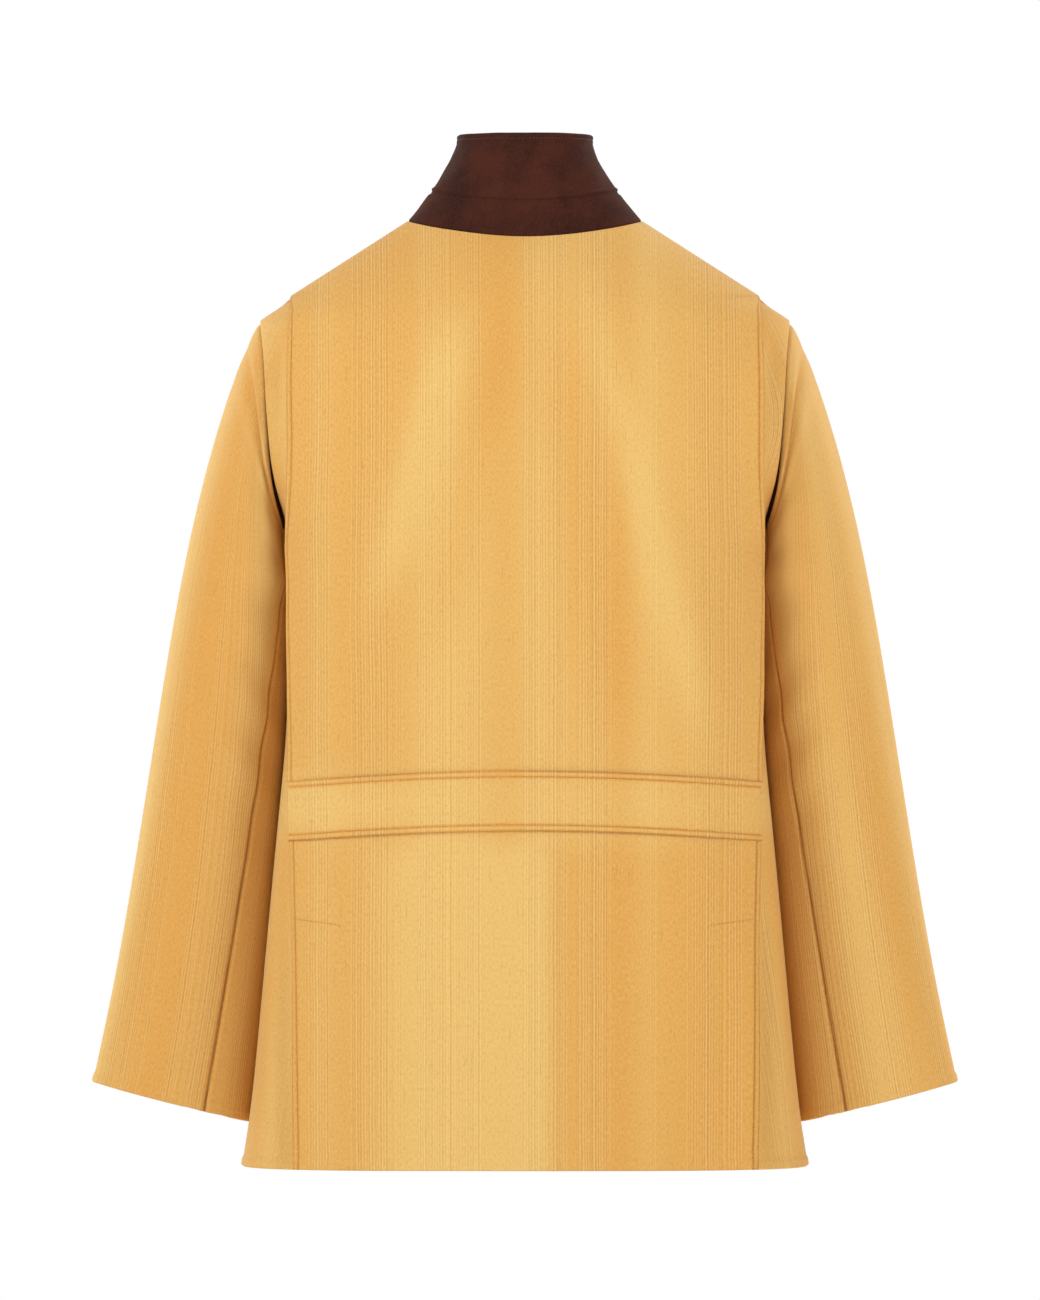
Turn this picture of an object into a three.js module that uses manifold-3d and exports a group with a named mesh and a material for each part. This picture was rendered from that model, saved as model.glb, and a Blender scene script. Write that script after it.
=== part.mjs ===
// Hip-length jacket with a two-part collar, an action back with a half belt, side vents, two-piece sleeves,
// patch pockets with flaps and a plain button front. It hangs open, with its sleeves at its sides.
// Millimetres. +Z is up, the front faces -Y and the wearer's left is +X.
// The origin is at the centre of the neck opening, level with the neck seam at the centre back.
import * as THREE from "three";
import { mergeVertices } from "three/addons/utils/BufferGeometryUtils.js";
import Module from "manifold-3d";

const wasm = await Module();
wasm.setup();

// Heights are measured up from the hem.
const backLength = 740; // from the neck seam at the centre back to the hem
const neckBackDrop = 14; // from the shoulder's neck point down to the neck seam at the centre back
const neckFrontDrop = 52;
const shoulderDrop = 77; // from the shoulder's neck point down to its tip
const armholeHeight = 177;
const fullestDrop = 154; // down to where the back and the chest stand furthest out
const neckPointHeight = backLength + neckBackDrop;
const shoulderTipHeight = neckPointHeight - shoulderDrop;
const underarmHeight = shoulderTipHeight - armholeHeight;
const fullestHeight = neckPointHeight - fullestDrop;

// Half widths and half depths of the body.
const hemHalfWidth = 226;
const chestHalfWidth = 190;
const shoulderTipHalf = 212;
const armholeBulge = 20; // how much wider the back is beside the armhole
const neckHalfWidth = 92;
const hemHalfDepth = 128;
const fullestHalfDepth = 120;
const neckHalfDepth = 64;
const sideCurve = 1.35; // how the side seams flare: 1 is straight
const bodyBoxiness = 3.6; // exponent of the body's outline, where 2 is an ellipse
const neckBoxiness = 2.2;

// Cloth layers.
const shellCloth = 1.3;
const liningCloth = 0.8;
const suede = 2.2;
const plyGap = 0.35; // between two layers that lie on each other
const seamGap = 0.5; // between two pieces sewn edge to edge
const hingeGap = 1.4; // between two pieces that turn about their seam
const layer = shellCloth + plyGap;
const backLift = 2 * layer; // the back panel lies over the gusset and the side panel
const liningDepth = (shellCloth + liningCloth) / 2 + plyGap;

// Action back, half belt and vents.
const backHalfTop = 187;
const backHalfHem = 181;
const pleatDepth = 35;
const beltDrop = 416; // from the shoulder's tip down to the belt's lower edge, at its ends
const beltBottomEnds = shoulderTipHeight - beltDrop;
const beltWidth = 45;
const beltArch = 9; // how far the belt rises at the centre back
const neckFacingHeight = 32;

// Fronts.
const frontGap = 8;
const frontShoulderEase = 1.2; // the front draws away from the shoulder seam by this much at its tip
const frontNeckEase = 3; // the front clears the collar by this much as it swings open
const facingWidth = 60;
const seamDepthHem = 88; // how far the side-front seam lies in front of the middle of the body
const seamDepthUnderarm = 55;
const liningHemInset = 20;
const liningNeckInset = 5;

// Armhole, an oval seen from the side.
const armholeHalfDepth = 74;
const seamTopHeight = underarmHeight + 40; // where the side-front seam runs into the armhole
const frontArmholeEase = 3.5; // the front clears the sleeve by this much as it swings open
const cutReach = 60;
const sleeveInset = 2.3; // from the armhole's edge in to the middle of the sleeve's cloth

// Sleeves. The outer line is the silhouette, the inner line faces the body.
const cuffOuterX = 347;
const cuffOuterHeight = 66;
const cuffInnerHeight = 34;
const cuffHalfDepth = 37;
const sleeveBow = 26; // how far the outer line bows out from a straight line
const sleeveBowShape = 0.75; // under 1, the bow is fullest above the elbow
const sleeveTaper = 0.8;
const innerCurve = 0.6; // how much the inner line hangs back before it falls to the cuff
const sleeveClearance = 3;
const capRoll = 6; // how far the sleeve stands out from the body just past the armhole
const capLength = 0.12; // share of the sleeve over which it leaves the armhole's shape
const backSeamTop = THREE.MathUtils.degToRad(152);
const backSeamCuff = THREE.MathUtils.degToRad(116);
const sleeveLiningEnd = 0.95;

// Collar.
const collarHeight = 85; // from the neck seam at the centre back to the turned-up edge
const collarTopHalfWidth = 53;
const collarTopHalfDepth = 50;
const collarTopFrontDrop = 55;
const standShare = 0.34;
const collarFlare = 1.5;
const collarCorner = 0.2; // share of the collar's height that its front corners lose
const cornerSharpness = 16; // exponent that keeps the rounding close to the corner
const collarFacingEnd = 0.96;
const collarLift = 1.7; // from the neck edge of the body up to the collar

// Pockets, on the fronts.
const pocketInnerX = 34;
const pocketWidth = 132;
const pocketBottom = 45;
const pocketHeight = 150;
const pocketDepth = 8;
const pocketMouthDepth = 7.4;
const pocketBends = [0.4, 0.8]; // shares of a pocket piece's height at which it bends
const flapRise = 23; // from the pocket's mouth up to the flap's seam
const flapTop = pocketBottom + pocketHeight + flapRise;
const flapHeight = 54;
const flapOverhang = 4;

// Buttons and hanger loop.
const buttonRadius = 10;
const buttonThickness = 3.4;
const buttonInset = 16;
const buttonLowest = 250;
const buttonNeckDrop = 124; // from the shoulder's neck point down to the top button
const buttonCount = 5;
const loopHalfWidth = 30;
const loopDrop = 20;
const loopBand = 5;
const loopThickness = 1.6;

const shellColour = { color: 0xe8b25f, roughness: 0.9, metalness: 0 };
const suedeColour = { color: 0x43251c, roughness: 1, metalness: 0 };
const liningColour = { color: 0xb98d4b, roughness: 0.5, metalness: 0 };
const hornColour = { color: 0x4b3222, roughness: 0.35, metalness: 0 };

const { lerp, smoothstep } = THREE.MathUtils;

// ---- Body surface -------------------------------------------------------------------------------------

// backShare is 1 on the back, which is wider beside the armhole, and 0 on the front.
function bodyHalfWidth(height, backShare = 1) {
  if (height < underarmHeight) {
    const flare = (1 - height / underarmHeight) ** sideCurve;
    return lerp(chestHalfWidth, hemHalfWidth, flare);
  }
  if (height < shoulderTipHeight) {
    const rise = (height - underarmHeight) / (shoulderTipHeight - underarmHeight);
    const width = lerp(chestHalfWidth, shoulderTipHalf, smoothstep(rise, 0, 1));
    return width + backShare * armholeBulge * Math.sin(Math.PI * rise);
  }
  const slope = (height - shoulderTipHeight) / (neckPointHeight - shoulderTipHeight);
  return lerp(shoulderTipHalf, neckHalfWidth, slope);
}

function bodyHalfDepth(height) {
  if (height < fullestHeight) return lerp(hemHalfDepth, fullestHalfDepth, height / fullestHeight);
  const rise = (height - fullestHeight) / (neckPointHeight - fullestHeight);
  return lerp(fullestHalfDepth, neckHalfDepth, rise ** 2);
}

function boxiness(height) {
  return lerp(bodyBoxiness, neckBoxiness, smoothstep(height, underarmHeight, neckPointHeight));
}

// A point on a rounded-rectangle outline: angle 0 is +X, 90 degrees is the back.
function outline(angle, halfWidth, halfDepth, power) {
  const cos = Math.cos(angle);
  const sin = Math.sin(angle);
  const reach = (Math.abs(cos) ** power + Math.abs(sin) ** power) ** (-1 / power);
  return [halfWidth * cos * reach, halfDepth * sin * reach];
}

function neckDrop(angle) {
  const sin = Math.sin(angle);
  return sin * sin * (sin > 0 ? neckBackDrop : neckFrontDrop);
}

// The belt and the rows of cloth near it arch up towards the centre back.
function archAt(angle, level) {
  if (Math.sin(angle) <= 0) return 0;
  const [x] = outline(angle, bodyHalfWidth(level), bodyHalfDepth(level), boxiness(level));
  const share = Math.max(0, 1 - (x / backEdgeX(level)) ** 2);
  const below = level / beltBottomEnds;
  const above = (shoulderTipHeight - level) / (shoulderTipHeight - beltBottomEnds - beltWidth);
  return beltArch * share * Math.max(0, Math.min(1, below, above));
}

// A level is a height above the hem at the side seams.
function bodyPoint(angle, level) {
  const height = level + archAt(angle, level);
  const halfWidth = bodyHalfWidth(height, smoothstep(Math.sin(angle), -0.1, 0.3));
  const [x, y] = outline(angle, halfWidth, bodyHalfDepth(height), boxiness(height));
  const rise = Math.max(0, (height - shoulderTipHeight) / (neckPointHeight - shoulderTipHeight));
  return new THREE.Vector3(x, y, height - backLength - neckDrop(angle) * rise ** 1.5);
}

// The unit normal of any surface point(a, b), from its slopes.
function normalOf(point, a, b, stepA, stepB) {
  const alongA = point(a + stepA, b).sub(point(a - stepA, b));
  const alongB = point(a, b + stepB).sub(point(a, b - stepB));
  return alongA.cross(alongB).normalize();
}

function bodySurface(angle, level, offset) {
  const clear = Math.min(level, neckPointHeight - 1);
  const normal = normalOf(bodyPoint, angle, clear, 0.002, 0.5);
  return bodyPoint(angle, level).addScaledVector(normal, offset);
}

// The angle at which the body's outline passes a distance x to the side, counted from the side.
function angleAtX(x, height, backShare = 0) {
  const ratio = bodyHalfWidth(height, backShare) / x;
  const power = boxiness(height);
  return ratio > 1 ? Math.atan((ratio ** power - 1) ** (1 / power)) : 0;
}

function angleAtDepth(depth, height) {
  const ratio = bodyHalfDepth(height) / depth;
  const power = boxiness(height);
  return Math.atan((ratio ** power - 1) ** (-1 / power));
}

// ---- Solids -------------------------------------------------------------------------------------------

// A closed sheet of cloth through grid(column, row, offset). Its columns wrap round on a tube, and the
// second half of a symmetric sheet is cut into triangles as the mirror image of the first.
function ply(grid, columns, rows, thickness, { wraps = false, symmetric = false } = {}) {
  const positions = [];
  const across = wraps ? columns : columns + 1;
  for (const offset of [-thickness / 2, thickness / 2]) {
    for (let row = 0; row <= rows; row++) {
      for (let column = 0; column < across; column++) {
        positions.push(...grid(column, row, offset).toArray());
      }
    }
  }
  const top = across * (rows + 1);
  const at = (column, row) => row * across + (column % across);
  const index = [];
  const quad = (a, b, c, d) => index.push(a, b, c, a, c, d);
  for (let row = 0; row < rows; row++) {
    for (let column = 0; column < columns; column++) {
      const [a, b] = [at(column, row), at(column + 1, row)];
      const [c, d] = [at(column + 1, row + 1), at(column, row + 1)];
      const corners = symmetric && column >= columns / 2 ? [b, c, d, a] : [a, b, c, d];
      const [e, f, g, h] = corners;
      index.push(g, f, e, h, g, e);
      quad(e + top, f + top, g + top, h + top);
    }
  }
  for (let column = 0; column < columns; column++) {
    const [a, b] = [at(column, 0), at(column + 1, 0)];
    const [c, d] = [at(column + 1, rows), at(column, rows)];
    quad(a, b, b + top, a + top);
    quad(c, d, d + top, c + top);
  }
  for (let row = 0; row < rows && !wraps; row++) {
    const [a, b] = [at(0, row + 1), at(0, row)];
    const [c, d] = [at(columns, row), at(columns, row + 1)];
    quad(a, b, b + top, a + top);
    quad(c, d, d + top, c + top);
  }
  const geometry = new THREE.BufferGeometry();
  geometry.setAttribute("position", new THREE.Float32BufferAttribute(positions, 3));
  geometry.setIndex(index);
  return facingOut(geometry);
}

function facingOut(geometry) {
  const position = geometry.getAttribute("position");
  const index = geometry.getIndex().array;
  const [a, b, c] = [new THREE.Vector3(), new THREE.Vector3(), new THREE.Vector3()];
  let volume = 0;
  for (let i = 0; i < index.length; i += 3) {
    a.fromBufferAttribute(position, index[i]);
    b.fromBufferAttribute(position, index[i + 1]);
    c.fromBufferAttribute(position, index[i + 2]);
    volume += a.dot(b.cross(c));
  }
  if (volume < 0) geometry.setIndex([...index].reverse());
  return geometry;
}

function toSolid(geometry) {
  const bare = geometry.clone();
  bare.deleteAttribute("normal");
  bare.deleteAttribute("uv");
  const merged = mergeVertices(bare, 1e-4);
  const vertProperties = merged.getAttribute("position").array;
  const triVerts = new Uint32Array(merged.getIndex().array);
  return new wasm.Manifold(new wasm.Mesh({ numProp: 3, vertProperties, triVerts }));
}

function toGeometry(solid) {
  const mesh = solid.getMesh();
  const geometry = new THREE.BufferGeometry();
  geometry.setAttribute("position", new THREE.BufferAttribute(mesh.vertProperties, 3));
  geometry.setIndex(new THREE.BufferAttribute(mesh.triVerts, 1));
  return geometry;
}

// ---- Armhole ------------------------------------------------------------------------------------------

const armholeMid = (underarmHeight + shoulderTipHeight) / 2;
const armholeHalfHeight = (shoulderTipHeight - underarmHeight) / 2;

function armholeCut(ease) {
  const length = shoulderTipHalf - chestHalfWidth + 2 * cutReach;
  const cylinder = new THREE.CylinderGeometry(1, 1, length, 40);
  cylinder.rotateZ(Math.PI / 2);
  cylinder.scale(1, armholeHalfDepth + ease, armholeHalfHeight);
  cylinder.translate((shoulderTipHalf + chestHalfWidth) / 2, 0, armholeMid - backLength);
  return toSolid(cylinder);
}

function cutArmhole(geometry, ease = 0) {
  return toGeometry(toSolid(geometry).subtract(armholeCut(ease)));
}

// A point round the armhole on the body's surface: angle 0 is the shoulder tip, 90 degrees is the back.
function armholePoint(angle) {
  const y = (armholeHalfDepth - sleeveInset) * Math.sin(angle);
  const height = armholeMid + (armholeHalfHeight - sleeveInset) * Math.cos(angle);
  const power = boxiness(height);
  const halfWidth = bodyHalfWidth(height, smoothstep(y / bodyHalfDepth(height), -0.1, 0.3));
  const x = halfWidth * (1 - (Math.abs(y) / bodyHalfDepth(height)) ** power) ** (1 / power);
  return new THREE.Vector3(x, y, height - backLength);
}

// ---- Body pieces --------------------------------------------------------------------------------------

const neckEdge = neckPointHeight - seamGap;
const beltTopEnds = beltBottomEnds + beltWidth;

function evenly(from, to, steps) {
  return Array.from({ length: steps }, (_, i) => lerp(from, to, i / steps));
}

// Layers that lie on each other bend at the same levels, so that their flat facets stay parallel.
const bendLevels = [
  ...evenly(liningHemInset, beltBottomEnds, 3),
  beltBottomEnds,
  ...evenly(beltTopEnds, underarmHeight, 3),
  underarmHeight,
  seamTopHeight,
  armholeMid,
  (armholeMid + shoulderTipHeight) / 2,
  shoulderTipHeight,
  shoulderTipHeight + (neckPointHeight - shoulderTipHeight - neckFacingHeight) / 2,
  neckPointHeight - neckFacingHeight,
  neckPointHeight - neckFacingHeight / 2,
];

function levelsBetween(low, high) {
  return [low, ...bendLevels.filter((level) => level > low + 1 && level < high - 1), high];
}

function bodyPly(low, high, anglesAt, lift, thickness, shape) {
  const levels = levelsBetween(low, high);
  const grid = (column, row, offset) => {
    return bodySurface(anglesAt(levels[row])[column], levels[row], offset + lift);
  };
  return ply(grid, anglesAt(low).length - 1, levels.length - 1, thickness, shape);
}

function backEdgeX(level) {
  return lerp(backHalfHem, backHalfTop, Math.min(1, level / shoulderTipHeight));
}

function shoulderAngle(level) {
  return seamGap / 2 / bodyHalfDepth(level);
}

function frontShoulderAngle(level) {
  const towardsTip = Math.min(1, (neckPointHeight - level) / shoulderDrop);
  return shoulderAngle(level) + (frontShoulderEase * towardsTip) / bodyHalfDepth(level);
}

// The angles of the pleat's free edge, its middle and its inner fold, at one level.
const pleatBends = 3;
const leastBend = 0.04;

function pleatAngles(level) {
  const angles = [];
  let least = shoulderAngle(level);
  for (const share of [0, 0.5, 1]) {
    angles.push(Math.max(least, angleAtX(backEdgeX(level) - share * pleatDepth, level, 1)));
    least = angles.at(-1) + leastBend;
  }
  return angles;
}

// Across the back from left to right, starting at one of the pleat's bends.
function acrossBack(startBend, inset = 0) {
  return (level) => {
    const pleat = pleatAngles(level);
    const half = [...pleat.slice(startBend), ...evenly(pleat.at(-1), Math.PI / 2, 4).slice(1)];
    half[0] += inset / bodyHalfWidth(level);
    return [...half, Math.PI / 2, ...half.map((angle) => Math.PI - angle).reverse()];
  };
}

function backPly(low, high, anglesAt, lift, thickness) {
  return bodyPly(low, high, anglesAt, lift, thickness, { symmetric: true });
}

function backPanel() {
  return backPly(beltTopEnds + seamGap, neckEdge, acrossBack(0), backLift, shellCloth);
}

function backWaistband() {
  return backPly(beltBottomEnds, beltTopEnds, acrossBack(0), backLift + plyGap, shellCloth + plyGap);
}

function backSkirt() {
  return backPly(0, beltBottomEnds - seamGap, acrossBack(0), backLift, shellCloth);
}

function skirtLining() {
  const top = beltBottomEnds - 2 * seamGap;
  return backPly(liningHemInset, top, acrossBack(1), backLift - liningDepth, liningCloth);
}

function backLining() {
  const top = neckPointHeight - neckFacingHeight - seamGap;
  return backPly(beltBottomEnds, top, acrossBack(1, seamGap), -liningDepth, liningCloth);
}

function backNeckFacing() {
  return backPly(neckPointHeight - neckFacingHeight, neckEdge, acrossBack(0), -liningDepth, liningCloth);
}

function pleatGusset() {
  return bodyPly(beltBottomEnds + 2 * seamGap, shoulderTipHeight, pleatAngles, layer, shellCloth);
}

// The side-front seam, which the front turns about. It ends inside the armhole.
function sideFrontEdge(level, side) {
  const depth = lerp(seamDepthHem, seamDepthUnderarm, level / underarmHeight);
  const seam = -angleAtDepth(depth, level) + (side * hingeGap) / 2 / hemHalfDepth;
  const shoulder = side > 0 ? shoulderAngle(level) : -frontShoulderAngle(level);
  return lerp(seam, shoulder, smoothstep(level, seamTopHeight, armholeMid));
}

function sideAngles(endBend, inset = 0) {
  return (level) => {
    const pleat = pleatAngles(level);
    const angles = [...evenly(sideFrontEdge(level, 1), pleat[0], 6), ...pleat.slice(0, endBend + 1)];
    angles[angles.length - 1] -= inset / bodyHalfWidth(level);
    return angles;
  };
}

function sidePanel() {
  const top = bendLevels.find((level) => level > shoulderTipHeight);
  return cutArmhole(bodyPly(0, top, sideAngles(pleatBends - 1), 0, shellCloth));
}

function sideLining() {
  const angles = sideAngles(1, seamGap);
  return cutArmhole(bodyPly(liningHemInset, shoulderTipHeight, angles, -liningDepth, liningCloth));
}

// The front bends at its facing's edge and at the pocket's edges, which draw in towards the neck.
const frontBends = [
  frontGap / 2,
  pocketInnerX,
  frontGap / 2 + facingWidth,
  pocketInnerX + pocketWidth / 2,
  pocketInnerX + (pocketWidth * 3) / 4,
  pocketInnerX + pocketWidth,
];

function frontAngles(level) {
  const drawIn = Math.min(1, bodyHalfWidth(level) / chestHalfWidth);
  const bends = frontBends.map((x) => -angleAtX(x === frontBends[0] ? x : x * drawIn, level));
  const edge = sideFrontEdge(level, -1);
  return [...bends, (bends.at(-1) + edge) / 2, edge];
}

const frontNeckEdge = neckEdge - frontNeckEase;

function frontPanel() {
  return cutArmhole(bodyPly(0, frontNeckEdge, frontAngles, 0, shellCloth), frontArmholeEase);
}

function frontFacing() {
  const angles = (level) => frontAngles(level).slice(0, 3);
  return bodyPly(liningHemInset / 2, frontNeckEdge - shellCloth, angles, -layer, shellCloth);
}

function frontLining() {
  const angles = (level) => {
    const kept = frontAngles(level).slice(2);
    kept[0] += seamGap / hemHalfDepth;
    return kept;
  };
  const lining = bodyPly(liningHemInset, frontNeckEdge - liningNeckInset, angles, -liningDepth, liningCloth);
  return cutArmhole(lining, frontArmholeEase);
}

// ---- Sleeves ------------------------------------------------------------------------------------------

// The sleeve's outer and inner lines in the plane of the shoulders, from the armhole (0) to the cuff (1).
function outerLine(t) {
  const bow = sleeveBow * Math.sin(Math.PI * t ** sleeveBowShape) * (1 - t);
  const x = lerp(shoulderTipHalf, cuffOuterX, t) + bow;
  return new THREE.Vector2(x, lerp(shoulderTipHeight, cuffOuterHeight, t));
}

function innerLine(t) {
  const height = lerp(underarmHeight, cuffInnerHeight, t * (1 - innerCurve + innerCurve * t));
  const roll = capRoll * smoothstep(t, 0, capLength / 4);
  return new THREE.Vector2(bodyHalfWidth(height) + sleeveClearance + roll * (1 - t), height);
}

// A ring of the sleeve is an oval between the two lines: angle 0 is outside, 90 degrees is the back.
function sleeveRing(angle, t) {
  const outer = outerLine(t);
  const inner = innerLine(t);
  const across = (1 + Math.cos(angle)) / 2;
  const halfDepth = lerp(armholeHalfDepth, cuffHalfDepth, t ** sleeveTaper);
  const height = lerp(inner.y, outer.y, across);
  return new THREE.Vector3(lerp(inner.x, outer.x, across), halfDepth * Math.sin(angle), height - backLength);
}

function sleevePoint(angle, t) {
  const leaving = 1 - smoothstep(t, 0, capLength);
  const shift = armholePoint(angle).sub(sleeveRing(angle, 0));
  return sleeveRing(angle, t).addScaledVector(shift, leaving);
}

function sleeveSurface(angle, t, offset) {
  const clear = THREE.MathUtils.clamp(t, 0.005, 0.995);
  const normal = normalOf(sleevePoint, angle, clear, 0.01, 0.004);
  return sleevePoint(angle, t).addScaledVector(normal, -offset);
}

// The two sleeve seams are level with each other, front and back.
function sleeveSeam(t) {
  return lerp(backSeamTop, backSeamCuff, t);
}

const sleeveStations = [0, 0.012, 0.03, 0.06, 0.12, 0.2, 0.32, 0.46, 0.6, 0.78, sleeveLiningEnd, 1];
const topBends = 10;
const underBends = 4;

function sleevePly(angleAt, columns, first, last, lift, thickness, shape) {
  const grid = (column, row, offset) => {
    const t = sleeveStations[first + row];
    return sleeveSurface(angleAt(column, t), t, offset + lift);
  };
  return ply(grid, columns, last - first, thickness, shape);
}

function topAngle(column, t, gap = 0) {
  const seam = sleeveSeam(t) - gap / cuffHalfDepth;
  return lerp(-seam, seam, column / topBends);
}

function underAngle(column, t, gap = 0) {
  const seam = sleeveSeam(t) + gap / cuffHalfDepth;
  return lerp(seam, 2 * Math.PI - seam, column / underBends);
}

const cuffStation = sleeveStations.length - 1;

function topSleeve() {
  const angleAt = (column, t) => topAngle(column, t, seamGap / 2);
  return sleevePly(angleAt, topBends, 0, cuffStation, 0, shellCloth);
}

function underSleeve() {
  const angleAt = (column, t) => underAngle(column, t, seamGap / 2);
  return sleevePly(angleAt, underBends, 0, cuffStation, 0, shellCloth);
}

function sleeveLining() {
  const angleAt = (column, t) => {
    return column < topBends ? topAngle(column, t) : underAngle(column - topBends, t);
  };
  const [start, end] = [3, cuffStation - 1];
  return sleevePly(angleAt, topBends + underBends, start, end, -liningDepth, liningCloth, { wraps: true });
}

// ---- Collar -------------------------------------------------------------------------------------------

function collarPoint(angle, k) {
  const seat = bodySurface(angle, neckPointHeight, (backLift * (1 + Math.sin(angle))) / 2);
  const narrowing = 1 - (1 - k) ** collarFlare;
  const [x, y] = outline(angle, collarTopHalfWidth, collarTopHalfDepth, neckBoxiness);
  const front = Math.max(0, -Math.sin(angle));
  const top = collarHeight - collarTopFrontDrop * front ** 2;
  return new THREE.Vector3(
    lerp(seat.x, x, narrowing),
    lerp(seat.y, y, k),
    lerp(seat.z + collarLift, top, k),
  );
}

function collarSurface(angle, k, offset) {
  const normal = normalOf(collarPoint, angle, THREE.MathUtils.clamp(k, 0.01, 0.99), 0.01, 0.01);
  return collarPoint(angle, k).addScaledVector(normal, offset);
}

const collarBends = 24;

function collarPly(shares, lift, thickness, corner) {
  const ends = -angleAtX(frontGap / 2 + collarLift, neckPointHeight);
  const grid = (column, row, offset) => {
    const u = column / collarBends;
    const rounding = row === shares.length - 1 ? corner * Math.abs(2 * u - 1) ** cornerSharpness : 0;
    return collarSurface(lerp(ends, Math.PI - ends, u), shares[row] - rounding, offset + lift);
  };
  return ply(grid, collarBends, shares.length - 1, thickness);
}

const fallShares = evenly(standShare, 1, 3);

function collarStand() {
  return collarPly([0, standShare / 2, standShare - seamGap / 100], 0, suede, 0);
}

function collarFall() {
  return collarPly([standShare + seamGap / 100, ...fallShares.slice(1), 1], 0, suede, collarCorner);
}

function collarFacing() {
  const inset = (suede + shellCloth) / 2 + plyGap;
  const shares = [standShare / 4, standShare / 2, ...fallShares, collarFacingEnd];
  return collarPly(shares, -inset, shellCloth, collarCorner);
}

// ---- Pockets, buttons and hanger loop -----------------------------------------------------------------

// The patch stands off the front where the pocket holds something, and its steep edges lie on the front.
function patchPocket() {
  const edge = pocketDepth;
  const across = [pocketInnerX, pocketInnerX + edge, ...frontBends.slice(2, 5)];
  across.push(pocketInnerX + pocketWidth - edge, pocketInnerX + pocketWidth);
  const up = [0, edge, ...pocketBends.map((share) => share * pocketHeight), pocketHeight];
  const grid = (column, row, offset) => {
    const isEdge = row === 0 || column === 0 || column === across.length - 1;
    const fullness = row === up.length - 1 ? pocketMouthDepth : pocketDepth;
    const level = pocketBottom + up[row];
    const lift = layer + plyGap + (isEdge ? 0 : fullness);
    return bodySurface(-angleAtX(across[column], level), level, offset + lift);
  };
  return ply(grid, across.length - 1, up.length - 1, shellCloth);
}

function pocketFlap() {
  const low = pocketInnerX - flapOverhang;
  const high = pocketInnerX + pocketWidth + flapOverhang;
  const across = [low, ...frontBends.slice(2, 5), pocketInnerX + pocketWidth - pocketDepth, high];
  const curl = pocketBends.map((share) => share * flapRise);
  const down = [0, ...curl, flapRise, (flapRise + flapHeight) / 2, flapHeight];
  const grid = (column, row, offset) => {
    const level = flapTop - down[row];
    const over = Math.sin((Math.PI / 2) * Math.min(1, down[row] / curl.at(-1)));
    const lift = layer + plyGap + (pocketDepth + layer) * over;
    return bodySurface(-angleAtX(across[column], level), level, offset + lift);
  };
  return ply(grid, across.length - 1, down.length - 1, shellCloth);
}

function button() {
  const rim = buttonThickness * 0.25;
  const profile = [
    new THREE.Vector2(0, 0),
    new THREE.Vector2(buttonRadius - rim, 0),
    new THREE.Vector2(buttonRadius, rim),
    new THREE.Vector2(buttonRadius, buttonThickness - rim),
    new THREE.Vector2(buttonRadius - rim, buttonThickness),
    new THREE.Vector2(buttonRadius * 0.6, buttonThickness - rim),
    new THREE.Vector2(0, buttonThickness - rim),
  ];
  const geometry = new THREE.LatheGeometry(profile, 16);
  geometry.deleteAttribute("normal");
  geometry.deleteAttribute("uv");
  return facingOut(mergeVertices(geometry, 1e-4));
}

function placeButton(mesh, height) {
  const angle = angleAtX(buttonInset, height) - Math.PI;
  const seat = bodySurface(angle, height, shellCloth / 2 + plyGap);
  const normal = bodySurface(angle, height, 1).sub(bodyPoint(angle, height));
  mesh.position.copy(seat);
  mesh.quaternion.setFromUnitVectors(new THREE.Vector3(0, 1, 0), normal.normalize());
}

// The loop's ends lie against the inside of the back neck facing.
function loopSeat() {
  const angle = angleAtX(loopHalfWidth, neckPointHeight);
  const [, y] = outline(angle, neckHalfWidth, neckHalfDepth, neckBoxiness);
  return y - liningDepth - liningCloth / 2 - plyGap;
}

function hangerLoop() {
  const shape = new THREE.Shape();
  shape.absellipse(0, 0, loopHalfWidth, loopDrop, Math.PI, 2 * Math.PI);
  shape.absellipse(0, 0, loopHalfWidth - loopBand, loopDrop - loopBand, 2 * Math.PI, Math.PI, true);
  const options = { depth: loopThickness, bevelEnabled: false, curveSegments: 12 };
  const geometry = new THREE.ExtrudeGeometry(shape, options);
  geometry.rotateX(Math.PI / 2);
  return geometry;
}

// ---- Assembly -----------------------------------------------------------------------------------------

const group = new THREE.Group();

function add(name, geometry, look) {
  const mesh = new THREE.Mesh(geometry, new THREE.MeshStandardMaterial(look));
  mesh.name = name;
  group.add(mesh);
  return mesh;
}

// The right-hand piece is the left-hand one mirrored.
function addPair(name, geometry, look) {
  add(`${name}_left`, geometry, look);
  add(`${name}_right`, geometry, look).scale.x = -1;
}

add("back_panel", backPanel(), shellColour);
add("back_waistband", backWaistband(), shellColour);
add("back_skirt", backSkirt(), shellColour);
add("skirt_lining", skirtLining(), liningColour);
add("back_lining", backLining(), liningColour);
add("back_neck_facing", backNeckFacing(), shellColour);
addPair("pleat_gusset", pleatGusset(), shellColour);
addPair("side_panel", sidePanel(), shellColour);
addPair("side_lining", sideLining(), liningColour);
addPair("front_panel", frontPanel(), shellColour);
addPair("front_facing", frontFacing(), shellColour);
addPair("front_lining", frontLining(), liningColour);
addPair("top_sleeve", topSleeve(), shellColour);
addPair("under_sleeve", underSleeve(), shellColour);
addPair("sleeve_lining", sleeveLining(), liningColour);
add("collar_stand", collarStand(), suedeColour);
add("collar_fall", collarFall(), suedeColour);
add("collar_facing", collarFacing(), suedeColour);
addPair("patch_pocket", patchPocket(), shellColour);
addPair("pocket_flap", pocketFlap(), shellColour);
const buttonPitch = (neckPointHeight - buttonNeckDrop - buttonLowest) / (buttonCount - 1);
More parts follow.
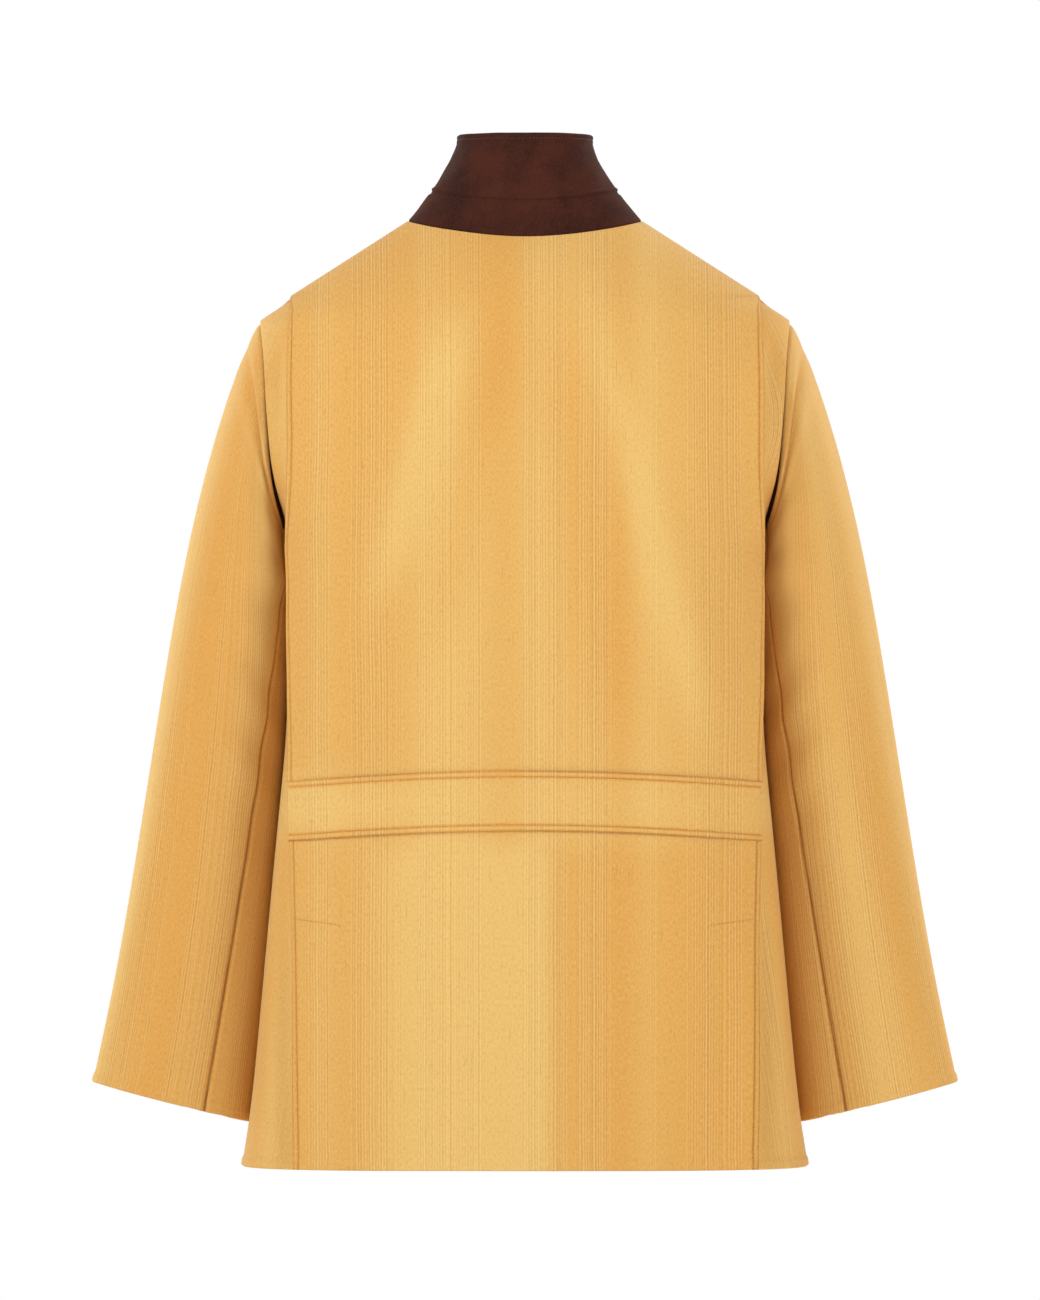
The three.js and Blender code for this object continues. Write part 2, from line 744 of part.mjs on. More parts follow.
for (let i = 0; i < buttonCount; i++) {
  placeButton(add(`front_button_${i + 1}`, button(), hornColour), buttonLowest + buttonPitch * i);
}
const loop = add("hanger_loop", hangerLoop(), shellColour);
loop.position.set(0, loopSeat(), -seamGap);

export default group;
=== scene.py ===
"""Looks of a hip-length ochre jacket: ribbed cloth, a suede stand-and-fall collar turned up, an action back
with a half belt, side vents, two-piece sleeves, patch pockets with flaps and horn buttons.

Shapes are worked out in millimetres in the frame of the CAD model and become metres as each mesh is made.
+Z is up, the front faces -Y and the wearer's left is +X. A level is a height above the hem.
"""
import math

import bpy
import numpy as np
from mathutils import Matrix, Vector


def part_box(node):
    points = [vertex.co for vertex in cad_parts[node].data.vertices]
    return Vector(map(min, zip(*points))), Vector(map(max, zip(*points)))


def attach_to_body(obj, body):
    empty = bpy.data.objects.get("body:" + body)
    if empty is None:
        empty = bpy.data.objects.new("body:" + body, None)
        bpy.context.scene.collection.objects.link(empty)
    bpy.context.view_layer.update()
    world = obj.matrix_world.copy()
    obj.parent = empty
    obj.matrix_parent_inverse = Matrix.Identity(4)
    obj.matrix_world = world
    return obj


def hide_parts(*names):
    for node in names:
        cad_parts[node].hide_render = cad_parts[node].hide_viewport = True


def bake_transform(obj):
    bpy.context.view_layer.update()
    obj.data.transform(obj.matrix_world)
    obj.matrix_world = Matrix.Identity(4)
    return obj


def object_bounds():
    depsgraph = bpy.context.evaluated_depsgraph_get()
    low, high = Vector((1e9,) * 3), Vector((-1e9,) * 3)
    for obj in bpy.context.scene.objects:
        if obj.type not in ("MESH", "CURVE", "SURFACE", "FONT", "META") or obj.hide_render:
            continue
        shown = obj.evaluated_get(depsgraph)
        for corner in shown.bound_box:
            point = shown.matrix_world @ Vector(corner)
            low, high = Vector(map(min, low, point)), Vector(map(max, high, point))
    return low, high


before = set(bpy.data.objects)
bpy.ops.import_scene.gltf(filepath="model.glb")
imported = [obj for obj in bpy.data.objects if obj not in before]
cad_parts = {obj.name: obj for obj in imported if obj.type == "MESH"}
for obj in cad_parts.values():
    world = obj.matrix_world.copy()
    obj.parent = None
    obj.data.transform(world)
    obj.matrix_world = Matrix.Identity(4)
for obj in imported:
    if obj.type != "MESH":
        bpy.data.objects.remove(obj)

CAD_BOX = [list(corner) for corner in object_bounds()]
MM = 0.001


def box_mm(node):
    """Lowest and highest corners of a CAD node in millimetres."""
    low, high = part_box(node)
    return np.array(low) / MM, np.array(high) / MM


# ---- Sizes, in millimetres ------------------------------------------------------------------------------

HEM_LOW, _ = box_mm("back_skirt")
BACK_LENGTH = round(-HEM_LOW[2])

# The body. Halves are half widths or half depths, and levels are heights above the hem.
NECK_BACK_DROP = 14
NECK_FRONT_DROP = 52
NECK = BACK_LENGTH + NECK_BACK_DROP
SHOULDER = NECK - 77
UNDERARM = SHOULDER - 177
FULLEST = NECK - 154
HEM_HALF = 226
CHEST_HALF = 190
SHOULDER_HALF = 212
ARMHOLE_BULGE = 20
NECK_HALF = 92
HEM_DEPTH = 128
FULL_DEPTH = 120
NECK_DEPTH = 64
SIDE_CURVE = 1.35
BODY_BOXINESS = 3.6
NECK_BOXINESS = 2.2

# Thicknesses, and the gaps between layers.
CLOTH = 1.3
LINING = 0.8
SUEDE = 2.2
GAP = 0.35
SEAM = 0.5
HINGE = 0.6
LAYER = CLOTH + GAP
BACK_LIFT = 2 * LAYER
LINING_LIFT = -((CLOTH + LINING) / 2 + GAP)

# The back panel, the pleats under its edges, the half belt and the vents.
BACK_EDGE_TOP = 187
BACK_EDGE_HEM = 181
PLEAT = 35
BELT_LOW = SHOULDER - 416
BELT_WIDTH = 45
BELT_HIGH = BELT_LOW + BELT_WIDTH
BELT_ARCH = 9
VENT_TOP = 200
NECK_FACING = 32

# The fronts and their side seams.
FRONT_GAP = 8
FACING = 60
SEAM_DEPTH_HEM = 88
SEAM_DEPTH_UNDERARM = 55
SEAM_TOP = UNDERARM + 40
LINING_INSET = 20

# Armhole and sleeve. Shares run from the armhole (0) to the cuff (1).
ARMHOLE_DEPTH = 74
ARMHOLE_MID = (UNDERARM + SHOULDER) / 2
ARMHOLE_RISE = (SHOULDER - UNDERARM) / 2
SLEEVE_INSET = 1.5
SLEEVE_DENT = 9  # how far a sleeve presses the side of the body in

CUFF_X = 347
CUFF_OUTER = 66
CUFF_INNER = 34
CUFF_DEPTH = 37
SLEEVE_BOW = 26
CAP_LENGTH = 0.12
SEAM_TOP_ANGLE = math.radians(152)
SEAM_CUFF_ANGLE = math.radians(116)
SLEEVE_LENGTH = 640
CREASE = 0.036  # share of the sleeve down to the crease beside the armhole
CREASE_ANGLE = math.radians(70)
CAP_DIP = 1.6
SLEEVE_CUT = 0.9  # where the sleeves were cut from the cloth, in metres
SLEEVE_GAUGES = (0.15, 0.3)  # shares where the sleeve is measured for its columns

# The collar, turned up. STAND is the stand's share of its height.
COLLAR_TOP = 85
COLLAR_TOP_HALF = 53
COLLAR_TOP_DEPTH = 50
COLLAR_FRONT_DROP = 55
STAND = 0.34
COLLAR_LIFT = 1.7
COLLAR_HEIGHT = 92
COLLAR_RUN = 420

# Patch pockets and flaps. X is the distance from the middle of the front.
POCKET_X = 34
POCKET_WIDTH = 132
POCKET_LOW = 45
POCKET_HEIGHT = 150
POCKET_DEPTH = 8
FLAP_TOP = 218
FLAP_HEIGHT = 54
FLAP_OVERHANG = 4
POCKET_CELL = 3.2

BUTTON_RADIUS = 10
BUTTON_THICKNESS = 3.4
BUTTON_X = 16
BUTTON_LOWEST = 250
BUTTON_COUNT = 5
BUTTON_HIGHEST = NECK - 124
BUTTON_PITCH = (BUTTON_HIGHEST - BUTTON_LOWEST) / (BUTTON_COUNT - 1)
BUTTON_HOLE = 0.75
BUTTON_HOLE_OUT = 1.9
BUTTON_THREAD_OUT = 1.34
BUTTONHOLE_HALF = 11.5

# Topstitching, and the steps in from an edge that every grid has.
STITCH_IN = 4.0
STITCH_PITCH = 3.0
EDGE_STEPS = [0, 0.5, 1.2, 2.2, 3.2, STITCH_IN, 4.8, 6, 8, 11, 15]
STITCH_STEP = EDGE_STEPS.index(STITCH_IN)
CELL = 4.5
NEAR_SHARE = 0.3  # the steps near one edge take up this share of a narrow row at most
ROW_SAMPLES = 193
GAUGE_SAMPLES = 97

# Soft folds: start and end as (x, height from the neck), half width and height.
BACK_FOLDS = [
    ((52, -14), (140, -380), 26, 4.4),
    ((18, -40), (70, -420), 34, 1.8),
    ((-58, -24), (-150, -395), 26, 3.6),
    ((-100, -70), (-172, -300), 16, 2.0),
    ((110, -70), (168, -250), 18, 1.8),
    ((-12, -500), (-16, -745), 30, 3.4),
    ((112, -505), (126, -750), 26, 2.2),
    ((-112, -500), (-128, -750), 28, 2.0),
    ((148, -560), (112, -740), 20, 2.2),
    ((-30, -30), (-96, -330), 22, 1.6),
]
FRONT_FOLDS = [
    ((92, -110), (120, -460), 26, 2.4),
    ((40, -140), (52, -420), 20, 1.4),
    ((150, -240), (140, -520), 20, 1.8),
]


# ---- Small helpers --------------------------------------------------------------------------------------


def smooth(x, low, high):
    t = np.clip((x - low) / (high - low), 0, 1)
    return t * t * (3 - 2 * t)


def mix(a, b, t):
    return a + (b - a) * t


def bell(x, middle, width):
    return np.exp(-(((x - middle) / width) ** 2))


def wander(x, seed, wavelength):
    """A slow, repeatable wobble between -1 and 1 along x."""
    rng = np.random.default_rng(seed)
    total = 0
    for octave in range(3):
        phase = rng.uniform(0, 6.28)
        total = total + np.sin(2 * np.pi * x * 1.7**octave / wavelength + phase) / (octave + 1)
    return total / 1.83


def ridge(x, z, start, end, width):
    """1 on the line from start to end, falling to 0 across it and towards its ends."""
    (x0, z0), (x1, z1) = start, end
    dx, dz = x1 - x0, z1 - z0
    length = math.hypot(dx, dz)
    along = ((x - x0) * dx + (z - z0) * dz) / length**2
    across = ((x - x0) * dz - (z - z0) * dx) / length
    ends = smooth(along, -0.15, 0.25) * (1 - smooth(along, 0.75, 1.15))
    return bell(across, 0, width) * ends


def near_steps(total):
    """The steps in from an edge that a run of this length has room for."""
    return [step for step in EDGE_STEPS if step < total * NEAR_SHARE]


def run_steps(total, cell=CELL):
    """Distances along a run, close together near both of its ends."""
    near = near_steps(total)
    inner = total - 2 * near[-1]
    count = max(2, round(inner / cell))
    middle = near[-1] + inner * np.arange(1, count) / count
    return np.concatenate([near, middle, [total - d for d in reversed(near)]])


# ---- Body surface ---------------------------------------------------------------------------------------


def half_width(h, back_share=1.0):
    """Half the width at a level. The back is fuller than the front round the armhole."""
    low = mix(CHEST_HALF, HEM_HALF, np.clip(1 - h / UNDERARM, 0, 2) ** SIDE_CURVE)
    rise = np.clip((h - UNDERARM) / (SHOULDER - UNDERARM), 0, 1)
    bulge = back_share * ARMHOLE_BULGE * np.sin(np.pi * rise)
    beside = mix(CHEST_HALF, SHOULDER_HALF, smooth(rise, 0, 1)) + bulge
    slope = (h - SHOULDER) / (NECK - SHOULDER)
    top = mix(SHOULDER_HALF, NECK_HALF, slope)
    return np.where(h < UNDERARM, low, np.where(h < SHOULDER, beside, top))


def half_depth(h):
    """Half the depth from back to front at a level."""
    rise = np.clip((h - FULLEST) / (NECK - FULLEST), 0, 1)
    low, high = mix(HEM_DEPTH, FULL_DEPTH, h / FULLEST), mix(FULL_DEPTH, NECK_DEPTH, rise**2)
    return np.where(h < FULLEST, low, high)


def boxiness(h):
    return mix(BODY_BOXINESS, NECK_BOXINESS, smooth(h, UNDERARM, NECK))


def outline(angle, width, depth, power):
    """A point on an oval that a higher power makes boxier."""
    c, s = np.cos(angle), np.sin(angle)
    reach = (np.abs(c) ** power + np.abs(s) ** power) ** (-1 / power)
    return width * c * reach, depth * s * reach


def back_edge(level):
    """How far from the middle the back panel's free edge lies."""
    return mix(BACK_EDGE_HEM, BACK_EDGE_TOP, np.minimum(1, level / SHOULDER))


def body_point(angle, level):
    """A point of the body before it is draped. Angle 0 is the wearer's left, a quarter turn the back."""
    s = np.sin(angle)
    x, _ = outline(angle, half_width(level), half_depth(level), boxiness(level))
    share = np.maximum(0, 1 - (x / back_edge(level)) ** 2)
    above = (SHOULDER - level) / (SHOULDER - BELT_HIGH)
    arch = np.where(s > 0, BELT_ARCH * share * np.clip(np.minimum(level / BELT_LOW, above), 0, 1), 0)
    height = level + arch
    x, y = outline(angle, half_width(height, smooth(s, -0.1, 0.3)), half_depth(height), boxiness(height))
    rise = np.maximum(0, (height - SHOULDER) / (NECK - SHOULDER))
    drop = s * s * np.where(s > 0, NECK_BACK_DROP, NECK_FRONT_DROP)
    return np.stack([x, y, height - BACK_LENGTH - drop * rise**1.5], -1)


def unit(v):
    return v / np.maximum(np.linalg.norm(v, axis=-1, keepdims=True), 1e-9)


def body_normal(angle, level):
    level = np.minimum(level, NECK - 1)
    da = body_point(angle + 0.002, level) - body_point(angle - 0.002, level)
    dl = body_point(angle, level + 0.5) - body_point(angle, level - 0.5)
    return unit(np.cross(da, dl))


def body_drape(angle, level):
    """How far all the layers of the body stand out together, in soft folds."""
    p = body_point(angle, level)
    x, z = p[..., 0], p[..., 2]
    s = np.sin(angle)
    back = sum(height * ridge(x, z, a, b, width) for a, b, width, height in BACK_FOLDS)
    back = back * smooth(s, 0.25, 0.6) * (1 - 0.85 * bell(level, (BELT_LOW + BELT_HIGH) / 2, 34))
    front = sum(height * ridge(np.abs(x), z, a, b, width) for a, b, width, height in FRONT_FOLDS)
    front = front * smooth(-s, 0.3, 0.6)
    side = 1.1 * wander(angle * 130 + level * 0.12, 5, 95) * smooth(UNDERARM - level, 40, 160)
    side = side * smooth(np.abs(np.cos(angle)), 0.2, 0.7)
    pressed = SLEEVE_DENT * bell(p[..., 1], 0, 38) * smooth(UNDERARM - level, 2, 36) * smooth(level, -20, 90)
    beside = bell(np.abs(x) - back_edge(level), 10, 7) * smooth(SHOULDER - level, 0, 50)
    beside = beside * smooth(s, 0.05, 0.3)
    hollow = (3.4 + 4.6 * bell(level, 150, 90)) * beside
    return back + front + side - pressed - hollow


def body_surface(angle, level, lift):
    """Points and normals of a layer that stands off the body by lift."""
    normal = body_normal(angle, level)
    return body_point(angle, level) + normal * (lift + body_drape(angle, level))[..., None], normal


def angle_at_x(x, level, back_share=0.0):
    """Angle of the body's point at a distance x from the middle."""
    power = boxiness(level)
    ratio = np.maximum(half_width(level, back_share) / x, 1)
    return np.arctan(np.maximum(ratio**power - 1, 0) ** (1 / power))


def angle_at_depth(depth, level):
    """Angle of the body's point at a distance to the back or front of the middle plane."""
    power = boxiness(level)
    return np.arctan(((half_depth(level) / depth) ** power - 1) ** (-1 / power))


def shoulder_angle(level):
    return SEAM / 2 / half_depth(level)


def pleat_angle(level, share):
    """Angle of the back panel's free edge (share 0) and of the pleat's inner fold (share 1)."""
    angle = angle_at_x(back_edge(level) - share * PLEAT, level, 1.0)
    return np.maximum(angle, shoulder_angle(level) + 0.08 * share)


def side_seam(level, side):
    """Angle of the side-front seam, on its back side (1) or its front side (-1)."""
    depth = mix(SEAM_DEPTH_HEM, SEAM_DEPTH_UNDERARM, level / UNDERARM)
    seam = -angle_at_depth(depth, level) + side * HINGE / 2 / HEM_DEPTH
    return mix(seam, side * shoulder_angle(level), smooth(level, SEAM_TOP, ARMHOLE_MID))


def tone_of(x, z, s):
    """Tone of the cloth across the back, 0 the deepest orange and 1 the palest: soft bands of its own colour,
    with painted highlights and shade along the folds and below the belt.
    """
    tone = 0.45 + 0.32 * bell(x, 48, 52) * smooth(-z, 20, 200) - 0.16 * bell(x, 118, 28)
    # Painted highlights and painted shade along the soft folds of BACK_FOLDS.
    tone = tone + 0.34 * ridge(x, z, (-55, -60), (-142, -400), 15)
    tone = tone - 0.2 * ridge(x, z, (-25, -60), (-75, -400), 28)
    tone = tone + 0.4 * ridge(x, z, (50, -60), (118, -290), 16)
    tone = tone - 0.18 * ridge(x, z, (22, -80), (72, -330), 18)
    # Below the belt: painted light on the wearer's left of the middle fold, painted shade on its right.
    below = smooth(-z, 470, 500)
    tone = tone + below * (0.42 * smooth(x, -24, 0) * (1 - smooth(x, 80, 150)) - 0.2 * smooth(-x, 14, 30))
    belt = bell(z, -457 + 6, 24)
    tone = tone + belt * (0.35 * smooth(x, 30, 170) + 0.1)
    return np.where(s > 0.1, tone, 0.45 + 0.15 * wander(x, 11, 120))


# ---- Meshes ---------------------------------------------------------------------------------------------

MATERIALS = {}
EDGE_ROUNDING = 0.42  # how far a cut edge bulges, as a share of the thickness
RIGHT_CUT = [0.31, 0.2, 0]  # where the right side's cloth was cut from, beside the left side's, in metres


def link_mesh(name, verts, faces, material):
    mesh = bpy.data.meshes.new(name)
    mesh.from_pydata((np.asarray(verts) * MM).tolist(), [], faces)
    mesh.polygons.foreach_set("use_smooth", [True] * len(mesh.polygons))
    mesh.materials.append(MATERIALS[material])
    piece = bpy.data.objects.new(name, mesh)
    bpy.context.scene.collection.objects.link(piece)
    return piece


def grid_faces(grid, wraps):
    """The faces of a grid, turned to its outer side, without those inside the armhole."""
    rows, cols = grid["mid"].shape[:2]
    r, c = np.meshgrid(np.arange(rows - 1), np.arange(cols if wraps else cols - 1), indexing="ij")
    after = (c + 1) % cols
    corners = (r * cols + c, r * cols + after, (r + 1) * cols + after, (r + 1) * cols + c)
    quads = np.stack(corners, -1).reshape(-1, 4)
    if grid.get("gone") is not None:
        quads = quads[~grid["gone"].reshape(-1)[quads].all(1)]
    p = grid["mid"].reshape(-1, 3)[quads]
    facing = np.cross(p[:, 2] - p[:, 0], p[:, 3] - p[:, 1])
    inward = (facing * grid["normal"].reshape(-1, 3)[quads[:, 0]]).sum() < 0
    return quads[:, ::-1] if inward else quads


def sheet_mesh(name, grid, material, wraps=False):
    """A closed sheet of cloth with a rounded edge. Its attribute holds the cloth's u and v, and its tone."""
    flat, normal = grid["mid"].reshape(-1, 3), grid["normal"].reshape(-1, 3)
    count = len(flat)
    thick = np.broadcast_to(grid["thick"], grid["mid"].shape[:2]).reshape(-1, 1)
    quads = grid_faces(grid, wraps)
    edges = np.concatenate([quads[:, [i, (i + 1) % 4]] for i in range(4)])
    border = edges[~np.isin(edges[:, 0] * count + edges[:, 1], edges[:, 1] * count + edges[:, 0])]
    total, uses = np.zeros_like(flat), np.zeros(count)
    for i in range(4):
        np.add.at(total, quads[:, i], flat[quads].mean(1))
        np.add.at(uses, quads[:, i], 1)
    rim = np.unique(border)
    away = flat[rim] - total[rim] / uses[rim, None]
    away = unit(away - (away * normal[rim]).sum(1, keepdims=True) * normal[rim])
    rounding = away * thick[rim] * EDGE_ROUNDING
    verts = np.concatenate([flat + normal * thick / 2, flat - normal * thick / 2, flat[rim] + rounding])
    rim_vert = np.zeros(count, int)
    rim_vert[rim] = 2 * count + np.arange(len(rim))
    a, b = border[:, 0], border[:, 1]
    faces = np.concatenate([
        quads,
        quads[:, ::-1] + count,
        np.stack([b, a, rim_vert[a], rim_vert[b]], 1),
        np.stack([rim_vert[b], rim_vert[a], a + count, b + count], 1),
    ])
    used, faces = np.unique(faces, return_inverse=True)
    cloth = grid["cloth"].reshape(-1, 3)
    cloth = np.concatenate([cloth, cloth, cloth[rim]])[used]
    piece = link_mesh(name, verts[used], faces.reshape(-1, 4).tolist(), material)
    attribute = piece.data.attributes.new("cloth", "FLOAT_VECTOR", "POINT")
    attribute.data.foreach_set("vector", cloth.astype(np.float32).ravel())
    return piece


def on_side(grid, sign):
    """A grid made for the wearer's left, or its mirror image cut from another part of the cloth."""
    if sign > 0:
        return grid
    flip = np.array([-1, 1, 1])
    return dict(grid, mid=grid["mid"] * flip, normal=grid["normal"] * flip, cloth=grid["cloth"] + RIGHT_CUT)


def edge_profile(distance, folded, stitched):
    """Extra thickness near an edge: a fold makes it double and a row of stitches draws it in."""
    extra = np.zeros_like(distance)
    if folded:
        extra = extra + 1.0 * (1 - smooth(distance, 4.5, 8))
    if stitched:
        extra = extra - 1.1 * bell(distance, STITCH_IN, 1.2)
    return extra


def seam_shade(distance):
    """Painted shade in the groove of a row of stitches and along the edge beside it."""
    return 1.1 * bell(distance, STITCH_IN, 0.9) + 0.9 * bell(distance, 0, 0.8)


def row_run(point, edges, at, samples):
    """Angles along one row of a surface, and how far along the row each of them lies."""
    start, end = edges
    angles = np.linspace(start(at), end(at), samples)
    steps = np.linalg.norm(np.diff(point(angles, np.full_like(angles, at)), axis=0), axis=1)
    return angles, np.concatenate([[0], np.cumsum(steps)])


def spaced_rows(point, edges, rows, gauges, cell):
    """Angles across every row, spaced alike, and distances from the row's start.

    The row's whole length and the distance of its angle 0 come with them. The widest of the gauge rows sets
    how many columns there are.
    """
    widest = max(row_run(point, edges, at, GAUGE_SAMPLES)[1][-1] for at in gauges)
    pattern = run_steps(widest, cell)
    near = len(near_steps(widest))
    rim = pattern[near - 1]
    share = (pattern[near:-near] - rim) / (widest - 2 * rim)
    spaced, places, totals, zeros = [], [], [], []
    for at in rows:
        angles, run = row_run(point, edges, at, ROW_SAMPLES)
        total = run[-1]
        head = pattern[:near] * min(1.0, total * NEAR_SHARE / rim)
        place = np.concatenate([head, head[-1] + share * (total - 2 * head[-1]), total - head[::-1]])
        spaced.append(np.interp(place, run, angles))
        places.append(place)
        totals.append([total])
        zeros.append([np.interp(0, angles, run) if angles[0] < 0 < angles[-1] else 0.0])
    return np.array(spaced), np.array(places), np.array(totals), np.array(zeros)


def body_grid(edges, low, high, lift, thick, *, folded="", stitched="", extra=None, on_back=False, cell=CELL,
              armhole=False):
    """A grid over part of the body. Its sides are s(tart), e(nd), b(ottom) and t(op).

    The ribs of a piece on the back run straight up, and the folds at its sides end at the shoulder.
    """
    rows = low + run_steps(high - low, cell)
    angle, place, total, zero = spaced_rows(body_point, edges, rows, (low, (low + high) / 2, high), cell)
    level = np.repeat(rows[:, None], angle.shape[1], 1)
    gone = None
    if armhole:
        angle, level, gone = cut_armhole(angle, level)
    distance = {"s": place, "e": total - place, "b": level - low, "t": high - level}
    more = np.zeros_like(angle)
    for side, away in distance.items():
        fade = smooth(SHOULDER + 6 - level, 0, 40) if on_back and side in "se" else 1.0
        more = more + fade * edge_profile(away, side in folded, side in stitched)
    more = np.clip(more, -0.7, 1.2)
    raised = extra(angle, level, distance) if extra else 0
    mid, normal = body_surface(angle, level, lift + more / 2 + raised)
    # Painted shade along the stitched edges and in their stitch grooves, taken off the tone.
    shade = sum(seam_shade(distance[side]) for side in stitched)
    base = body_point(angle, level)
    u = -base[..., 0] if on_back else place - zero
    cloth = np.stack([u * MM, level * MM, tone_of(mid[..., 0], mid[..., 2], np.sin(angle)) - shade], -1)
    return {"mid": mid, "normal": normal, "thick": thick + more, "cloth": cloth, "base": base, "gone": gone,
            "level": level}


def cut_armhole(angle, level):
    """Draws the grid's points inside the armhole's oval out to its edge."""
    p = body_point(angle, level)
    y, h = p[..., 1], p[..., 2] + BACK_LENGTH
    inside = np.sqrt((y / ARMHOLE_DEPTH) ** 2 + ((h - ARMHOLE_MID) / ARMHOLE_RISE) ** 2)
    gone = inside < 1
    k = np.maximum(inside, 1e-3)
    y2, h2 = y / k, ARMHOLE_MID + (h - ARMHOLE_MID) / k
    width = half_width(h2, smooth(y2 / half_depth(h2), -0.1, 0.3))
    x2 = width * np.maximum(1 - (np.abs(y2) / half_depth(h2)) ** boxiness(h2), 0) ** (1 / boxiness(h2))
    edge_angle = np.arctan2(y2 / half_depth(h2), x2 / width)
    return np.where(gone, edge_angle, angle), np.where(gone, h2, level), gone


# ---- Stitches -------------------------------------------------------------------------------------------

STITCH_RINGS = [(-0.5, 0.0), (-0.36, 0.75), (0.0, 1.0), (0.36, 0.75), (0.5, 0.0)]


def stitch_verts(centre, along, normal, length, width, height):
    across = np.cross(normal, along)
    verts = []
    for place, size in STITCH_RINGS:
        if size == 0:
            verts.append(centre + along * place * length)
            continue
        for k in range(6):
            turn = math.tau * k / 6
            verts.append(centre + along * place * length + across * math.cos(turn) * size * width / 2
                         + normal * math.sin(turn) * size * height / 2)
    return verts


def stitch_faces(start):
    faces = [(start, start + 1 + (k + 1) % 6, start + 1 + k) for k in range(6)]
    for ring in range(2):
        a, b = start + 1 + ring * 6, start + 7 + ring * 6
        faces += [(a + k, a + (k + 1) % 6, b + (k + 1) % 6, b + k) for k in range(6)]
    end = start + 19
    faces += [(end, end - 6 + k, end - 6 + (k + 1) % 6) for k in range(6)]
    return faces


def stitched_rows(name, rows, *, seed, material="thread", pitch=STITCH_PITCH, length=2.35, width=0.75,
                  height=0.6):
    """Rows of separate stitches lying on the cloth, each row a line of points with normals."""
    rng = np.random.default_rng(seed)
    verts, faces = [], []
    for points, normals in rows:
        run = np.concatenate([[0], np.cumsum(np.linalg.norm(np.diff(points, axis=0), axis=1))])
        count = max(1, int(run[-1] / pitch))
        places = (np.arange(count) + 0.5) * run[-1] / count
        at = np.stack([np.interp(places, run, points[:, i]) for i in range(3)], 1)
        nrm = unit(np.stack([np.interp(places, run, normals[:, i]) for i in range(3)], 1))
        ahead = np.stack([np.interp(places + 0.8, run, points[:, i]) for i in range(3)], 1)
        behind = np.stack([np.interp(places - 0.8, run, points[:, i]) for i in range(3)], 1)
        along = unit(ahead - behind)
        for k in range(count):
            skew = rng.normal(0, 0.05)
            a = along[k] * math.cos(skew) + np.cross(nrm[k], along[k]) * math.sin(skew)
            start = len(verts)
            long = length * rng.uniform(0.93, 1.05)
            verts += stitch_verts(at[k] + nrm[k] * 0.05, unit(a), nrm[k], long, width, height)
            faces += stitch_faces(start)
    return link_mesh(name, verts, faces, material)


def grid_row(grid, rows, cols):
    """A line of points on a grid's outer face."""
    thick = np.broadcast_to(grid["thick"], grid["mid"].shape[:2])[..., None]
    outer = grid["mid"] + grid["normal"] * thick / 2
    return outer[rows, cols].reshape(-1, 3), grid["normal"][rows, cols].reshape(-1, 3)


def side_rows(grid, rows):
    """The stitch lines along a grid's two sides."""
    return [grid_row(grid, rows, STITCH_STEP), grid_row(grid, rows, -1 - STITCH_STEP)]


# ---- Materials ------------------------------------------------------------------------------------------


class Nodes:
    """Short calls for building a node tree."""

    def __init__(self, name):
        self.material = bpy.data.materials.new(name)
        self.material.use_nodes = True
        self.tree = self.material.node_tree
        self.shader = self.tree.nodes["Principled BSDF"]

    def plug(self, node, key, value):
        socket = node.inputs[key]
        if isinstance(value, bpy.types.NodeSocket):
            self.tree.links.new(value, socket)
        else:
            socket.default_value = value

    def add(self, kind, values=(), **settings):
        node = self.tree.nodes.new(kind)
        for key, value in settings.items():
            setattr(node, key, value)
        for key, value in dict(values).items():
            self.plug(node, key, value)
        return node

    def math(self, operation, a, b=0.0, c=0.0, clamp=False):
        node = self.add("ShaderNodeMath", {0: a, 1: b, 2: c}, operation=operation, use_clamp=clamp)
        return node.outputs[0]

    def remap(self, value, low, high, to_low=0.0, to_high=1.0):
        values = {"Value": value, "From Min": low, "From Max": high, "To Min": to_low, "To Max": to_high}
        return self.add("ShaderNodeMapRange", values, interpolation_type="SMOOTHSTEP").outputs[0]

    def blend(self, share, a, b, how="MIX"):
        node = self.add("ShaderNodeMix", data_type="RGBA", blend_type=how)
        self.plug(node, 0, share)
        self.plug(node, 6, a)
        self.plug(node, 7, b)
        return node.outputs[2]

    def noise(self, scale, detail=2.0, rough=0.5, vector=None, w=None):
        values = {"Scale": scale, "Detail": detail, "Roughness": rough}
        if w is not None:
            node = self.add("ShaderNodeTexNoise", {}, noise_dimensions="1D")
            values["W"] = w
        else:
            node = self.add("ShaderNodeTexNoise", {}, noise_dimensions="3D")
            values["Vector"] = vector
        for key, value in values.items():
            self.plug(node, key, value)
        return node.outputs[0]

    def stretch(self, vector, scale):
        return self.add("ShaderNodeMapping", {"Vector": vector, "Scale": scale}).outputs[0]

    def finish(self, colour, height, distance, strength=1.0, roughness=0.8, **shader):
        self.plug(self.shader, "Base Color", colour)
        self.plug(self.shader, "Roughness", roughness)
        for key, value in shader.items():
            self.plug(self.shader, key.replace("_", " "), value)
        if height is not None:
            bump = self.add("ShaderNodeBump", {"Height": height, "Strength": strength, "Distance": distance})
            self.plug(self.shader, "Normal", bump.outputs[0])
        return self.material


def srgb(r, g, b):
    """Linear colour of a display colour given in 0 to 255."""
    out = []
    for value in (r, g, b):
        v = value / 255
        out.append(v / 12.92 if v <= 0.04045 else ((v + 0.055) / 1.055) ** 2.4)
    return (*out, 1.0)


DEEP_OCHRE = srgb(222, 163, 80)
PALE_OCHRE = srgb(232, 190, 112)
RIB_SHADOW = srgb(176, 116, 46)
RIB_LIGHT = srgb(246, 218, 152)
SEAM_SHADE = srgb(150, 92, 34)

# In metres.
RIB_PITCH = 0.0022
GROUP_PITCH = 0.034
THREAD_PITCH = 0.0016
TWILL_PITCH = 0.0011


